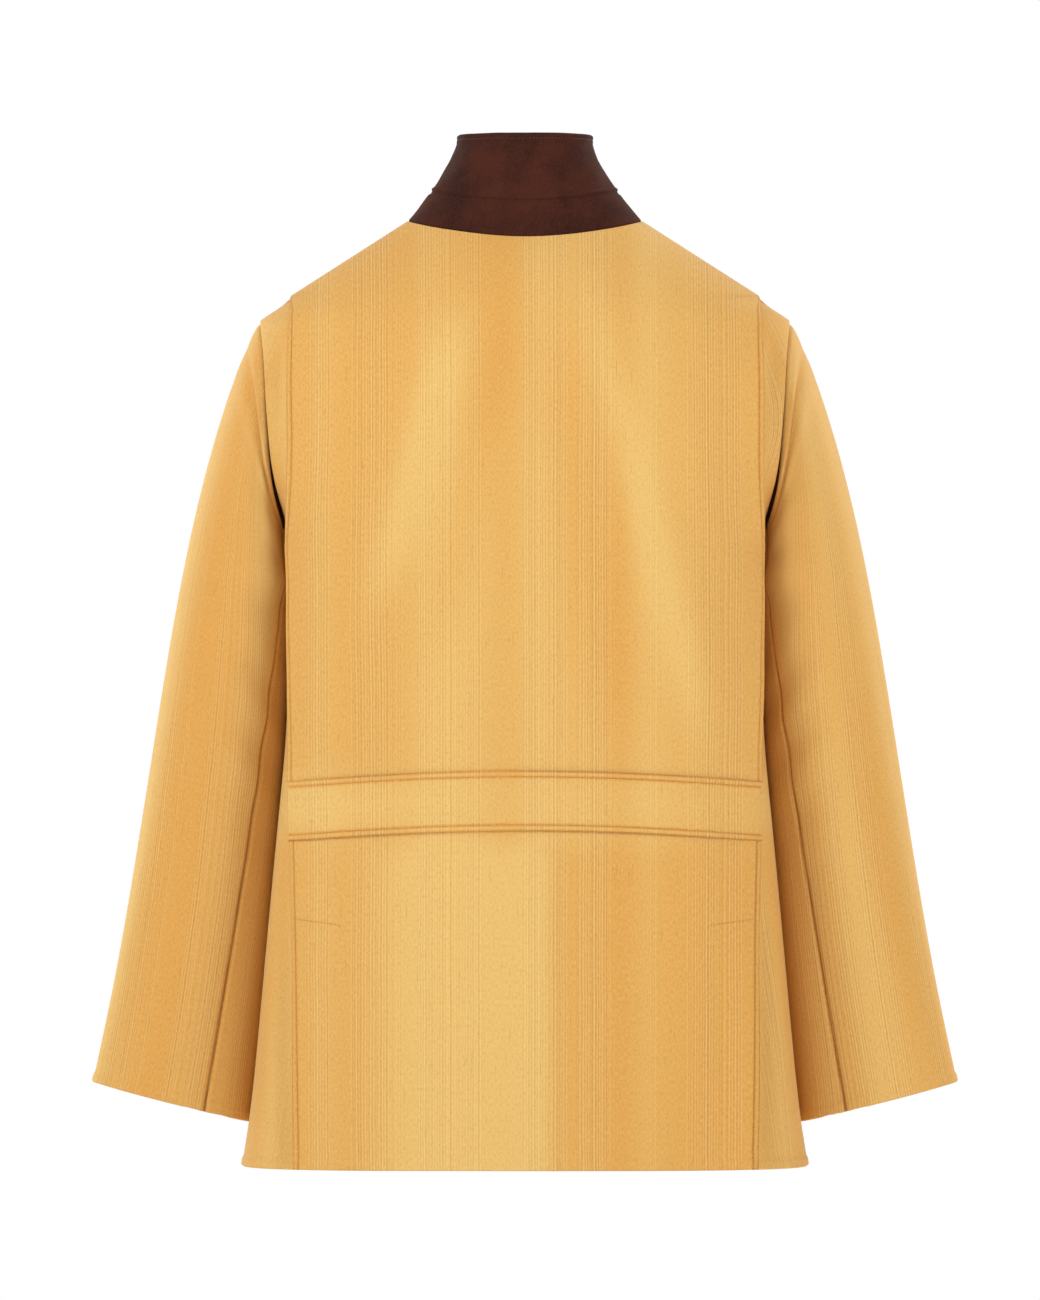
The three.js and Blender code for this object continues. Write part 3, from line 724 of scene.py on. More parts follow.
def shell_cloth():
    """Woven cloth with fine ribs in uneven groups, flecked plain bands between them and soft tone bands,
    which also carry painted light and shade.
    """
    n = Nodes("shell_cloth")
    cloth = n.add("ShaderNodeAttribute", attribute_name="cloth", attribute_type="GEOMETRY").outputs["Vector"]
    axes = n.add("ShaderNodeSeparateXYZ", {0: cloth}).outputs
    u, v, tone = axes[0], axes[1], axes[2]
    sway = n.math("MULTIPLY_ADD", n.noise(9.0, 1.0, w=v), 0.0012, u)
    groups = n.noise(1 / GROUP_PITCH, 1.0, w=sway)
    ribbed = n.remap(groups, 0.44, 0.55)
    wave = n.math("SINE", n.math("MULTIPLY", sway, math.tau / RIB_PITCH))
    threads = n.noise(1 / THREAD_PITCH, 2.0, 0.7, w=sway)
    line = n.math("ADD", n.math("MULTIPLY", wave, 0.33), n.math("MULTIPLY_ADD", threads, 2.2, -1.1))
    rib = n.math("MULTIPLY", line, ribbed)
    fleck_at = n.stretch(cloth, (760.0, 330.0, 0.0))
    fleck = n.noise(1.0, 3.0, 0.65, vector=fleck_at)
    weft = n.noise(1.0, 2.0, 0.6, vector=n.stretch(cloth, (60.0, 1500.0, 0.0)))
    slub = n.remap(n.noise(1.0, 1.0, 0.5, vector=n.stretch(cloth, (700.0, 42.0, 0.0))), 0.66, 0.78)
    bands = n.noise(15.0, 1.0, w=sway)
    level = n.math("MULTIPLY_ADD", bands, 0.9, n.math("SUBTRACT", tone, 0.45))
    pale = n.remap(level, 0.1, 0.95)
    colour = n.blend(pale, DEEP_OCHRE, PALE_OCHRE)
    # Painted shade where the tone is low: along seams, stitched edges and the sleeves' crease.
    colour = n.blend(n.remap(tone, 0.1, -1.1), colour, SEAM_SHADE)
    colour = n.blend(n.math("MULTIPLY_ADD", rib, -0.46, 0.05, clamp=True), colour, RIB_SHADOW)
    colour = n.blend(n.math("MULTIPLY", rib, 0.5, clamp=True), colour, RIB_LIGHT)
    plain = n.math("MULTIPLY_ADD", fleck, 1.6, -0.8)
    colour = n.blend(n.math("MULTIPLY", plain, 0.55, clamp=True), colour, RIB_LIGHT)
    colour = n.blend(n.math("MULTIPLY", plain, -0.8, clamp=True), colour, RIB_SHADOW)
    colour = n.blend(n.math("MULTIPLY", slub, 0.3), colour, RIB_SHADOW)
    height = n.math("MULTIPLY_ADD", rib, 0.55, n.math("MULTIPLY", fleck, 0.8))
    height = n.math("MULTIPLY_ADD", weft, 0.5, height)
    rough = n.remap(fleck, 0.2, 0.8, 0.74, 0.92)
    return n.finish(colour, height, 0.0005, 0.55, rough, Sheen_Weight=0.12, Sheen_Roughness=0.5,
                    Sheen_Tint=(1.0, 0.85, 0.6, 1.0), Specular_IOR_Level=0.25)


def suede_leather():
    """Dark brown suede with a brushed nap in cloudy patches."""
    n = Nodes("suede")
    place = n.add("ShaderNodeTexCoord").outputs["Object"]
    clouds = n.noise(26.0, 3.0, 0.6, vector=place)
    nap = n.noise(1.0, 4.0, 0.7, vector=n.stretch(place, (900.0, 900.0, 620.0)))
    fibre = n.noise(1.0, 2.0, 0.6, vector=n.stretch(place, (2600.0, 2600.0, 1500.0)))
    colour = n.blend(n.remap(clouds, 0.35, 0.68), srgb(44, 20, 14), srgb(70, 34, 24))
    colour = n.blend(n.remap(nap, 0.35, 0.7, 0.0, 0.4), colour, srgb(92, 50, 36))
    height = n.math("MULTIPLY_ADD", fibre, 0.6, nap)
    return n.finish(colour, height, 0.0004, 0.8, n.remap(clouds, 0.3, 0.7, 0.86, 0.98), Sheen_Weight=0.1,
                    Sheen_Roughness=0.4, Sheen_Tint=(0.75, 0.48, 0.36, 1.0), Specular_IOR_Level=0.12)


def satin_lining():
    """Twill-woven lining with a soft lustre."""
    n = Nodes("lining")
    cloth = n.add("ShaderNodeAttribute", attribute_name="cloth", attribute_type="GEOMETRY").outputs["Vector"]
    axes = n.add("ShaderNodeSeparateXYZ", {0: cloth}).outputs
    slant = n.math("ADD", axes[0], axes[1])
    twill = n.math("SINE", n.math("MULTIPLY", slant, math.tau / TWILL_PITCH))
    clouds = n.noise(1.0, 3.0, 0.55, vector=n.stretch(cloth, (24.0, 9.0, 0.0)))
    grain = n.noise(1.0, 2.0, 0.6, vector=n.stretch(cloth, (1300.0, 500.0, 0.0)))
    colour = n.blend(n.remap(clouds, 0.3, 0.7), srgb(150, 104, 48), srgb(186, 140, 72))
    colour = n.blend(n.math("MULTIPLY_ADD", twill, 0.08, 0.08), colour, srgb(120, 80, 34))
    colour = n.blend(n.remap(grain, 0.4, 0.8, 0.0, 0.25), colour, srgb(206, 164, 98))
    height = n.math("MULTIPLY_ADD", twill, 0.25, grain)
    return n.finish(colour, height, 0.00012, 0.6, n.remap(clouds, 0.2, 0.8, 0.34, 0.5), Sheen_Weight=0.1,
                    Specular_IOR_Level=0.5, Anisotropic=0.4)


def horn():
    """Polished dark horn with paler streaks."""
    n = Nodes("horn")
    place = n.add("ShaderNodeTexCoord").outputs["Object"]
    streak = n.noise(1.0, 5.0, 0.6, vector=n.stretch(place, (90.0, 260.0, 420.0)))
    patch = n.noise(70.0, 2.0, 0.5, vector=place)
    colour = n.blend(n.remap(streak, 0.42, 0.68), srgb(43, 26, 17), srgb(112, 78, 50))
    colour = n.blend(n.remap(patch, 0.55, 0.8, 0.0, 0.6), colour, srgb(24, 14, 10))
    return n.finish(colour, streak, 0.0001, 0.3, n.remap(patch, 0.3, 0.7, 0.22, 0.38), Coat_Weight=0.35,
                    Coat_Roughness=0.12, Specular_IOR_Level=0.5)


def sewing_thread(name, dark, light):
    """Twisted thread: fine slanting plies along each stitch."""
    n = Nodes(name)
    place = n.add("ShaderNodeTexCoord").outputs["Object"]
    plies = n.noise(1.0, 2.0, 0.5, vector=n.stretch(place, (2400.0, 2400.0, 1700.0)))
    patch = n.noise(60.0, 2.0, 0.5, vector=place)
    colour = n.blend(n.remap(plies, 0.35, 0.65), dark, light)
    colour = n.blend(n.remap(patch, 0.4, 0.7, 0.0, 0.35), colour, dark)
    return n.finish(colour, plies, 0.0002, 0.6, n.remap(plies, 0.3, 0.7, 0.5, 0.7), Sheen_Weight=0.1)


def painted_floor():
    n = Nodes("pale_floor")
    place = n.add("ShaderNodeTexCoord").outputs["Object"]
    grain = n.noise(14.0, 3.0, 0.5, vector=place)
    colour = n.blend(grain, srgb(250, 250, 249), srgb(253, 253, 252))
    return n.finish(colour, grain, 0.0002, 0.1, 0.75)


MATERIALS["shell_cloth"] = shell_cloth()
MATERIALS["suede"] = suede_leather()
MATERIALS["lining"] = satin_lining()
MATERIALS["horn"] = horn()
MATERIALS["thread"] = sewing_thread("ochre_thread", srgb(176, 112, 42), srgb(222, 166, 86))
MATERIALS["suede_thread"] = sewing_thread("brown_thread", srgb(44, 22, 16), srgb(88, 50, 36))
MATERIALS["floor"] = painted_floor()


# ---- Camera, lights and floor ---------------------------------------------------------------------------

# In metres, except the floor's sizes, which are in millimetres.
VIEW_WIDTH = 0.832
VIEW_HEIGHT = VIEW_WIDTH * 1300 / 1040
CAMERA_DISTANCE = 9.0
SCALE_PLANE = 0.05  # how far behind the middle of the jacket the view's width and height are measured
HEADROOM = 0.1072  # from the collar's top to the top of the view
VIEW_SHIFT = 0.004  # towards the wearer's left
SKY_LIGHT = 0.4
HORIZON_BAND = (0.12, 0.3)  # sines of the heights where the white cyclorama starts to dim and ends
FLOOR_DROP = 360
FLOOR_RADIUS = 3600
FLOOR_SIDES = 96


def add_camera():
    data = bpy.data.cameras.new("camera")
    data.sensor_width = 36
    data.lens = data.sensor_width * (CAMERA_DISTANCE - SCALE_PLANE) / VIEW_HEIGHT
    camera = bpy.data.objects.new("camera", data)
    middle = COLLAR_TOP * MM + HEADROOM - VIEW_HEIGHT / 2
    camera.location = (VIEW_SHIFT, CAMERA_DISTANCE, middle)
    camera.rotation_euler = (math.pi / 2, 0, math.pi)
    bpy.context.scene.collection.objects.link(camera)
    bpy.context.scene.camera = camera


def add_light(name, place, size, power, target=(0, 0, -0.33)):
    data = bpy.data.lights.new(name, "AREA")
    data.shape = "RECTANGLE"
    data.size, data.size_y = size
    data.energy = power
    lamp = bpy.data.objects.new(name, data)
    lamp.location = place
    lamp.rotation_euler = (Vector(target) - Vector(place)).to_track_quat("-Z", "Y").to_euler()
    bpy.context.scene.collection.objects.link(lamp)


def add_studio():
    world = bpy.data.worlds.new("studio")
    world.use_nodes = True
    sky = world.node_tree.nodes["Background"]
    sky.inputs["Color"].default_value = (1, 1, 1, 1)
    nodes, links = world.node_tree.nodes, world.node_tree.links
    direction = nodes.new("ShaderNodeSeparateXYZ")
    links.new(nodes.new("ShaderNodeTexCoord").outputs["Generated"], direction.inputs[0])
    band = nodes.new("ShaderNodeMapRange")
    for socket, value in zip(("From Min", "From Max", "To Min", "To Max"), (*HORIZON_BAND, 1.0, SKY_LIGHT)):
        band.inputs[socket].default_value = value
    links.new(direction.outputs["Z"], band.inputs["Value"])
    links.new(band.outputs["Result"], sky.inputs["Strength"])
    bpy.context.scene.world = world
    bpy.context.scene.view_settings.view_transform = "Standard"
    add_light("key", (2.3, 2.0, 1.3), (1.3, 1.3), 42)
    add_light("fill", (-2.4, 2.4, 0.4), (2.0, 2.0), 30)
    add_light("front_key", (-2.2, -2.1, 1.3), (1.4, 1.4), 42)
    add_light("front_fill", (2.3, -2.2, 0.4), (2.0, 2.0), 28)
    add_light("top", (0, 0, 2.6), (2.0, 2.0), 12)
    drop = CAD_BOX[0][2] / MM - FLOOR_DROP
    turns = [math.tau * k / FLOOR_SIDES for k in range(FLOOR_SIDES)]
    corners = [(FLOOR_RADIUS * math.cos(a), FLOOR_RADIUS * math.sin(a), drop) for a in turns]
    floor = link_mesh("floor", corners, [tuple(range(FLOOR_SIDES))], "floor")


add_camera()
add_studio()


# ---- Putting pieces on the frame ------------------------------------------------------------------------

SIDES = (("left", 1), ("right", -1))
FRONT_BLEND = ((0, 0, -0.18), (0, 0, -0.49))
TAIL_BLEND = ((0, 0, (BELT_LOW - BACK_LENGTH) * MM), (0, 0, (120 - BACK_LENGTH) * MM))
SLEEVE_REACH = (237, 286)  # how far outward, square to the armhole, a raised sleeve starts and stops turning
FLAP_BLEND = ((0, 0, (FLAP_TOP - BACK_LENGTH) * MM), (0, 0, (FLAP_TOP - BACK_LENGTH - 14) * MM))


def attach(piece, body, node=None, bend=None):
    """Rides on a body, or keeps its transform baked in where a bend is given, and stands for its CAD node."""
    if bend is None:
        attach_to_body(piece, body)
    else:
        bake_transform(piece)
    if node:
        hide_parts(node)


def add_sheet(name, grid, slot, node, *, body="body", bend=None, wraps=False,
              sewn=None):
    """A piece of cloth, suede or lining on its body, with the stitches that are sewn through it."""
    piece = sheet_mesh(name, grid, slot, wraps)
    attach(piece, body, node, bend)
    stitches = []
    if sewn:
        stitches.append(stitched_rows(**sewn))
        attach(stitches[0], body, bend=bend)


def sleeve_blend(sign):
    """Two points square to the line from underarm to shoulder tip, at the reaches in SLEEVE_REACH."""
    across, along = SHOULDER - UNDERARM, SHOULDER_HALF - CHEST_HALF
    length = math.hypot(across, along)
    return [(sign * reach * across / length * MM, 0, -reach * along / length * MM) for reach in SLEEVE_REACH]


# ---- Back -----------------------------------------------------------------------------------------------


def across_back(share):
    """Edges of a layer of the back: its free folds (share 0), or that far towards the pleats' inner folds."""
    def start(level):
        return mix(pleat_angle(level, 0.0), pleat_angle(level, 1.0), share)

    return start, lambda level: math.pi - start(level)


def free_edge(angle, level, distance):
    """The back panel's free edges stand a little off the cloth beneath, more on the right."""
    reach = smooth(SHOULDER - level, 0, 60)
    left = (2.0 + 0.7 * wander(level, 21, 190)) * bell(distance["s"], 0, 12)
    right = (2.6 + 0.8 * wander(level, 22, 210)) * bell(distance["e"], 0, 14)
    return (left + right) * reach


def vent_edge(angle, level, distance):
    """Below the vents' tops the skirt's corners hang freer."""
    vent = smooth(VENT_TOP - level, 0, 170)
    left = (1.2 + 1.6 * vent) * bell(distance["s"], 0, 18)
    right = (1.8 + 3.0 * vent) * bell(distance["e"], 0, 24)
    return left + right + 0.8 * vent * wander(angle * 120, 31, 150)


def build_back():
    edges = across_back(0)
    panel = body_grid(edges, BELT_HIGH - 8, NECK - SEAM, BACK_LIFT, CLOTH, folded="se", stitched="se",
                      extra=free_edge, on_back=True)
    level = panel["level"][:, 0]
    rows = side_rows(panel, (level < SHOULDER + 6) & (level > BELT_HIGH + 1))
    add_sheet("back_panel_cloth", panel, "shell_cloth", "back_panel",
              sewn={"name": "back_panel_topstitching", "rows": rows, "seed": 3})

    belt = body_grid(edges, BELT_LOW - 0.6, BELT_HIGH + 0.6, BACK_LIFT + LAYER + 0.1, CLOTH, folded="bt",
                     stitched="bt", on_back=True, cell=3.5, extra=lambda *at: 0.6 * free_edge(*at))
    rows = [grid_row(belt, row, slice(1, -1)) for row in (STITCH_STEP, -1 - STITCH_STEP)]
    add_sheet("back_waistband_cloth", belt, "shell_cloth", "back_waistband",
              sewn={"name": "back_waistband_topstitching", "rows": rows, "seed": 4})

    skirt = body_grid(edges, 0, BELT_LOW + 8, BACK_LIFT, CLOTH, folded="seb", stitched="se", extra=vent_edge,
                      on_back=True)
    rows = side_rows(skirt, skirt["level"][:, 0] < BELT_LOW - 2)
    rows += [vent_stitch_line(skirt, sign) for _, sign in SIDES]
    add_sheet("back_skirt_cloth", skirt, "shell_cloth", "back_skirt",
              bend=("back_tail", TAIL_BLEND),
              sewn={"name": "back_skirt_topstitching", "rows": rows, "seed": 5})


def vent_stitch_line(skirt, sign):
    """The short slanting row that closes the top of a vent."""
    edge = back_edge(VENT_TOP)
    x, level = np.linspace(edge - 2, edge - 38, 24), np.linspace(VENT_TOP - 2, VENT_TOP - 9, 24)
    angle = angle_at_x(x, level, 1.0)
    angle = angle if sign > 0 else math.pi - angle
    thick = np.broadcast_to(skirt["thick"], skirt["mid"].shape[:2])
    outer = (skirt["mid"] + skirt["normal"] * thick[..., None] / 2).reshape(-1, 3)
    points, normals = body_surface(angle, level, np.full_like(angle, BACK_LIFT))
    nearest = np.argmin(((points[:, None] - outer[None]) ** 2).sum(-1), axis=1)
    found = ((outer[nearest] - points) * normals).sum(1)
    soft = np.convolve(np.pad(found, 3, mode="edge"), np.ones(7) / 7, mode="valid")
    return points + normals * (soft + 0.1)[:, None], normals


def build_back_inside():
    lining = body_grid(across_back(0.5), BELT_LOW, NECK - NECK_FACING - SEAM, LINING_LIFT, LINING, cell=7,
                       on_back=True)
    add_sheet("back_lining_satin", lining, "lining", "back_lining")
    facing = body_grid(across_back(0), NECK - NECK_FACING, NECK - SEAM, LINING_LIFT, LINING, cell=5,
                       on_back=True)
    add_sheet("back_neck_facing_cloth", facing, "shell_cloth", "back_neck_facing")
    skirt = body_grid(across_back(0.5), LINING_INSET, BELT_LOW - 2 * SEAM, BACK_LIFT + LINING_LIFT, LINING,
                      cell=7, on_back=True)
    add_sheet("skirt_lining_satin", skirt, "lining", "skirt_lining",
              bend=("back_tail", TAIL_BLEND))
    pleat = (across_back(0)[0], across_back(1)[0])
    gusset = body_grid(pleat, BELT_LOW + 2 * SEAM, SHOULDER, LAYER, CLOTH, cell=7)
    for side, sign in SIDES:
        add_sheet(f"pleat_gusset_cloth_{side}", on_side(gusset, sign), "shell_cloth", f"pleat_gusset_{side}")


# ---- Sides and fronts -----------------------------------------------------------------------------------


def build_sides():
    def seam(level):
        return side_seam(level, 1)

    top = SHOULDER + (NECK - SHOULDER - NECK_FACING) / 2
    outer = body_grid((seam, across_back(1)[0]), 0, top, 0, CLOTH, folded="b", armhole=True)
    lining = body_grid((seam, across_back(0.5)[0]), LINING_INSET, SHOULDER, LINING_LIFT, LINING, cell=7,
                       armhole=True)
    for side, sign in SIDES:
        add_sheet(f"side_panel_cloth_{side}", on_side(outer, sign), "shell_cloth", f"side_panel_{side}")
        add_sheet(f"side_lining_satin_{side}", on_side(lining, sign), "lining", f"side_lining_{side}")


def front_x(x):
    """Angle of a line that runs up the front at distance x from the middle, drawn in towards the neck."""
    def at(level):
        draw_in = min(1.0, float(half_width(level)) / CHEST_HALF)
        return -angle_at_x(x * draw_in if x > FRONT_GAP else x, level)
    return at


def shoulder_rise(angle, level, distance):
    """Along the shoulder the front comes up to the back panel that it is sewn to."""
    return (BACK_LIFT - 0.2) * bell(distance["e"], 0, 9) * smooth(level, SHOULDER + 8, SHOULDER + 22)


def build_fronts():
    def seam(level):
        return side_seam(level, -1)

    def beside_facing(level):
        return facing_edge(level) + SEAM / HEM_DEPTH

    edge, facing_edge = front_x(FRONT_GAP / 2), front_x(FRONT_GAP / 2 + FACING)
    panel = body_grid((edge, seam), 0, NECK - SEAM, 0, CLOTH, folded="bs", stitched="s", armhole=True,
                      extra=shoulder_rise)
    facing = body_grid((edge, facing_edge), LINING_INSET / 2, NECK - SEAM - CLOTH, -LAYER, CLOTH, cell=6)
    lining = body_grid((beside_facing, seam), LINING_INSET, NECK - SEAM - 5, LINING_LIFT, LINING, cell=7,
                       armhole=True)
    for side, sign in SIDES:
        bend = (f"{side}_front", FRONT_BLEND)
        cloth = f"front_panel_cloth_{side}"
        grid = on_side(panel, sign)
        rows = [grid_row(grid, slice(STITCH_STEP, -1), STITCH_STEP)]
        add_sheet(cloth, grid, "shell_cloth", f"front_panel_{side}", bend=bend,
                  sewn={"name": f"front_edge_topstitching_{side}", "rows": rows, "seed": 7 + sign})
        add_sheet(f"front_facing_cloth_{side}", on_side(facing, sign), "shell_cloth", f"front_facing_{side}",
                  bend=bend)
        add_sheet(f"front_lining_satin_{side}", on_side(lining, sign), "lining", f"front_lining_{side}",
                  bend=bend)


# ---- Sleeves --------------------------------------------------------------------------------------------


def outer_line(t):
    """The sleeve's outer edge, as x and level."""
    x = mix(SHOULDER_HALF, CUFF_X, t) + SLEEVE_BOW * np.sin(np.pi * t**0.75) * (1 - t)
    return x, mix(SHOULDER, CUFF_OUTER, t)


def inner_line(t):
    """The sleeve's inner edge, which lies against the body."""
    height = mix(UNDERARM, CUFF_INNER, t * (0.4 + 0.6 * t))
    pressed_in = mix(1.5 - 6.0 * smooth(t, 0.06, 0.2), -1.0, smooth(t, 0.45, 1.0))
    return half_width(height) + pressed_in, height


def armhole_point(angle):
    """A point on the oval that the sleeve is sewn to."""
    y = (ARMHOLE_DEPTH - SLEEVE_INSET) * np.sin(angle)
    h = ARMHOLE_MID + (ARMHOLE_RISE - SLEEVE_INSET) * np.cos(angle)
    power, depth = boxiness(h), half_depth(h)
    width = half_width(h, smooth(y / depth, -0.1, 0.3))
    x = width * (1 - (np.abs(y) / depth) ** power) ** (1 / power)
    return np.stack([x, y, h - BACK_LENGTH], -1)


def sleeve_ring(angle, t):
    """A point of the sleeve without its cap. Angle 0 is its outer edge."""
    ox, oh = outer_line(t)
    ix, ih = inner_line(t)
    across = (1 + np.cos(angle)) / 2
    y = mix(ARMHOLE_DEPTH, CUFF_DEPTH, t**0.8) * np.sin(angle)
    return np.stack([mix(ix, ox, across), y, mix(ih, oh, across) - BACK_LENGTH], -1)


def sleeve_point(angle, t):
    t = np.clip(t, 0, 1)
    leaving = (1 - smooth(t, 0, CAP_LENGTH))[..., None]
    shift = armhole_point(angle) - sleeve_ring(angle, np.zeros_like(t))
    return sleeve_ring(angle, t) + shift * leaving


def sleeve_drape(angle, t):
    """Soft folds: a crease beside the armhole, drags from the underarm, breaks at the elbow."""
    back = smooth(np.sin(angle), -0.2, 0.6)
    behind = bell(angle, CREASE_ANGLE, 0.8)
    crease = -3.0 * bell(t, CREASE, 0.008) * behind + 1.7 * bell(t, 0.016, 0.009) * behind
    crease = crease + 1.6 * bell(t, 0.062, 0.016) * behind
    drag = 2.0 * np.sin(2 * np.pi * (t * 7.5 + angle * 0.75)) * bell(t, 0.2, 0.1) * bell(angle, 1.9, 0.9)
    elbow = 1.3 * np.sin(2 * np.pi * (t * 9 - angle * 0.5 + 0.2)) * bell(t, 0.5, 0.15) * bell(angle, 2.1, 0.9)
    front = 1.2 * np.sin(2 * np.pi * (t * 8 + angle * 0.6)) * bell(t, 0.42, 0.2) * bell(angle, -1.7, 0.9)
    length = 1.6 * wander(angle * 60 + t * 60, 44, 120) * smooth(t, 0.1, 0.35) * (1 - 0.5 * smooth(t, 0.8, 1))
    facing_body = 1 - 0.75 * bell(np.abs(angle), math.pi, 0.55)
    return (crease + drag * back + elbow + front + length) * facing_body * smooth(t, 0.0, 0.02)


def sleeve_surface(angle, t, lift):
    clear = np.clip(t, 0.004, 0.996)
    da = sleeve_point(angle + 0.01, clear) - sleeve_point(angle - 0.01, clear)
    dt = sleeve_point(angle, clear + 0.003) - sleeve_point(angle, clear - 0.003)
    normal = unit(np.cross(dt, da))
    return sleeve_point(angle, t) + normal * (lift + sleeve_drape(angle, t))[..., None], normal


def sleeve_seam(t):
    return mix(SEAM_TOP_ANGLE, SEAM_CUFF_ANGLE, t)


def sleeve_grid(edges, seam_dip):
    """A grid down part of the sleeve, dipping into its seams and doubled by the cuff's hem."""
    rows = run_steps(SLEEVE_LENGTH) / SLEEVE_LENGTH
    angle, place, total, _ = spaced_rows(sleeve_point, edges, rows, SLEEVE_GAUGES, CELL)
    t = np.repeat(rows[:, None], angle.shape[1], 1)
    down, beyond = t * SLEEVE_LENGTH, total - place
    more = edge_profile((1 - t) * SLEEVE_LENGTH, True, False)
    dip = seam_dip * (bell(place, 0, 1.6) + bell(beyond, 0, 1.6)) + CAP_DIP * bell(down, 0, 2.4)
    mid, normal = sleeve_surface(angle, t, more / 2 - dip)
    u = place - total / 2
    tone = 0.4 + 0.16 * wander(u + t * 90, 51, 130) + 0.1 * smooth(np.cos(angle), 0.4, 1)
    # Painted shade along the seams, at the armhole seam and in the crease beside the armhole.
    tone = tone - 1.1 * np.maximum(bell(place, 0, 1.3), bell(beyond, 0, 1.3))
    tone = tone - 1.2 * bell(down, 0, 1.6) - 0.7 * bell(t, CREASE, 0.005) * bell(angle, CREASE_ANGLE, 0.8)
    cloth = np.stack([u * MM + SLEEVE_CUT, -down * MM, tone], -1)
    return {"mid": mid, "normal": normal, "thick": CLOTH + more, "cloth": cloth,
            "base": sleeve_point(angle, t)}


def lining_tube():
    angle, t = np.meshgrid(np.linspace(-math.pi, math.pi, 73)[:-1], np.linspace(0.06, 0.95, 90))
    mid, normal = sleeve_surface(angle, t, np.full_like(t, LINING_LIFT - 1.6))
    cloth = np.stack([angle * 0.05, -t * SLEEVE_LENGTH * MM, np.full_like(t, 0.4)], -1)
    return {"mid": mid, "normal": normal, "thick": LINING, "cloth": cloth, "base": sleeve_point(angle, t)}


def build_sleeves():
    gap = SEAM / 2 / CUFF_DEPTH
    top = sleeve_grid((lambda t: -sleeve_seam(t) + gap, lambda t: sleeve_seam(t) - gap), 1.6)
    under = sleeve_grid((lambda t: sleeve_seam(t) + gap, lambda t: math.tau - sleeve_seam(t) - gap), 2.0)
    lining = lining_tube()
    for side, sign in SIDES:
        bend = (f"{side}_sleeve", sleeve_blend(sign))
        for name, grid in (("top_sleeve", top), ("under_sleeve", under)):
            add_sheet(f"{name}_cloth_{side}", on_side(grid, sign), "shell_cloth", f"{name}_{side}",
                      bend=bend)
        add_sheet(f"sleeve_lining_satin_{side}", on_side(lining, sign), "lining", f"sleeve_lining_{side}",
                  bend=bend, wraps=True)


# ---- Collar ---------------------------------------------------------------------------------------------


def collar_point(angle, k):
    """A point of the collar, at a share k of its height."""
    full = np.full_like(angle, NECK)
    lift = BACK_LIFT * (1 + np.sin(angle)) / 2
    seat = body_point(angle, full) + body_normal(angle, full) * lift[..., None]
    narrowing = 1 - (1 - np.clip(k, 0, 1)) ** 1.5
    x, y = outline(angle, COLLAR_TOP_HALF, COLLAR_TOP_DEPTH, NECK_BOXINESS)
    front = np.maximum(0, -np.sin(angle))
    top = COLLAR_TOP - COLLAR_FRONT_DROP * front**2
    return np.stack([mix(seat[..., 0], x, narrowing), mix(seat[..., 1], y, k),
                     mix(seat[..., 2] + COLLAR_LIFT, top, k)], -1)


def collar_surface(angle, k, lift):
    clear = np.clip(k, 0.01, 0.99)
    da = collar_point(angle + 0.01, clear) - collar_point(angle - 0.01, clear)
    dk = collar_point(angle, clear + 0.01) - collar_point(angle, clear - 0.01)
    normal = unit(np.cross(da, dk))
    return collar_point(angle, k) + normal * np.asarray(lift)[..., None], normal


def collar_grid(first, last, lift, thick, *, corner=0.0, folded=False, profile=None):
    """A band round the neck between two shares of the collar's height. Its upper corners are drawn in."""
    height = (last - first) * COLLAR_HEIGHT
    end = -float(angle_at_x(np.array(FRONT_GAP / 2 + COLLAR_LIFT), np.array(float(NECK))))
    across, up = run_steps(COLLAR_RUN, 3.2) / COLLAR_RUN, run_steps(height, 2.6) / COLLAR_HEIGHT
    u, k = np.meshgrid(across, first + up)
    rise = (k - first) / (last - first)
    k = k - corner * rise**3 * np.abs(2 * u - 1) ** 16
    angle = mix(end, math.pi - end, u)
    more = np.zeros_like(k)
    if folded:
        away = height * (1 - rise), COLLAR_RUN * np.minimum(u, 1 - u)
        more = np.maximum(*(edge_profile(d, True, False) for d in away))
        more = more - 0.8 * np.maximum(*(bell(d, STITCH_IN, 1.0) for d in away))
    sag = 0.7 * wander(u * COLLAR_RUN + k * 60, 61, 150) + 0.4 * wander(u * COLLAR_RUN - k * 90, 62, 60)
    shaped = profile(rise * height) if profile else 0
    mid, normal = collar_surface(angle, k, lift + more / 2 + sag * smooth(k, 0.02, 0.3) + shaped)
    cloth = np.stack([u * COLLAR_RUN * MM, k * COLLAR_HEIGHT * MM, np.full_like(u, 0.45)], -1)
    return {"mid": mid, "normal": normal, "thick": thick + more, "cloth": cloth,
            "base": collar_point(angle, k)}


def build_collar():
    join = SEAM / 2 / COLLAR_HEIGHT
    stand = collar_grid(-0.015, STAND - join, 0, SUEDE - 0.4,
                        profile=lambda up: -0.9 * bell(up, 31.2, 1.8) - 0.5 * bell(up, 0, 1.5))
    add_sheet("collar_stand_suede", stand, "suede", "collar_stand")
    fall = collar_grid(STAND + join, 1, 0, SUEDE - 0.4, corner=0.2, folded=True,
                       profile=lambda up: 0.9 * bell(up, 2.2, 1.4) - 0.9 * bell(up, 0, 0.8))
    inner = slice(STITCH_STEP, -1 - STITCH_STEP)
    rows = [grid_row(fall, -1 - STITCH_STEP, inner), *side_rows(fall, inner)]
    add_sheet("collar_fall_suede", fall, "suede", "collar_fall",
              sewn={"name": "collar_fall_topstitching", "rows": rows, "material": "suede_thread", "seed": 12})
    inset = -((SUEDE + CLOTH) / 2 + GAP)
    facing = collar_grid(STAND / 4, 0.96, inset, CLOTH - 0.2, corner=0.2)
    add_sheet("collar_facing_suede", facing, "suede", "collar_facing")


# ---- Pockets, buttons, buttonholes and hanger loop ------------------------------------------------------


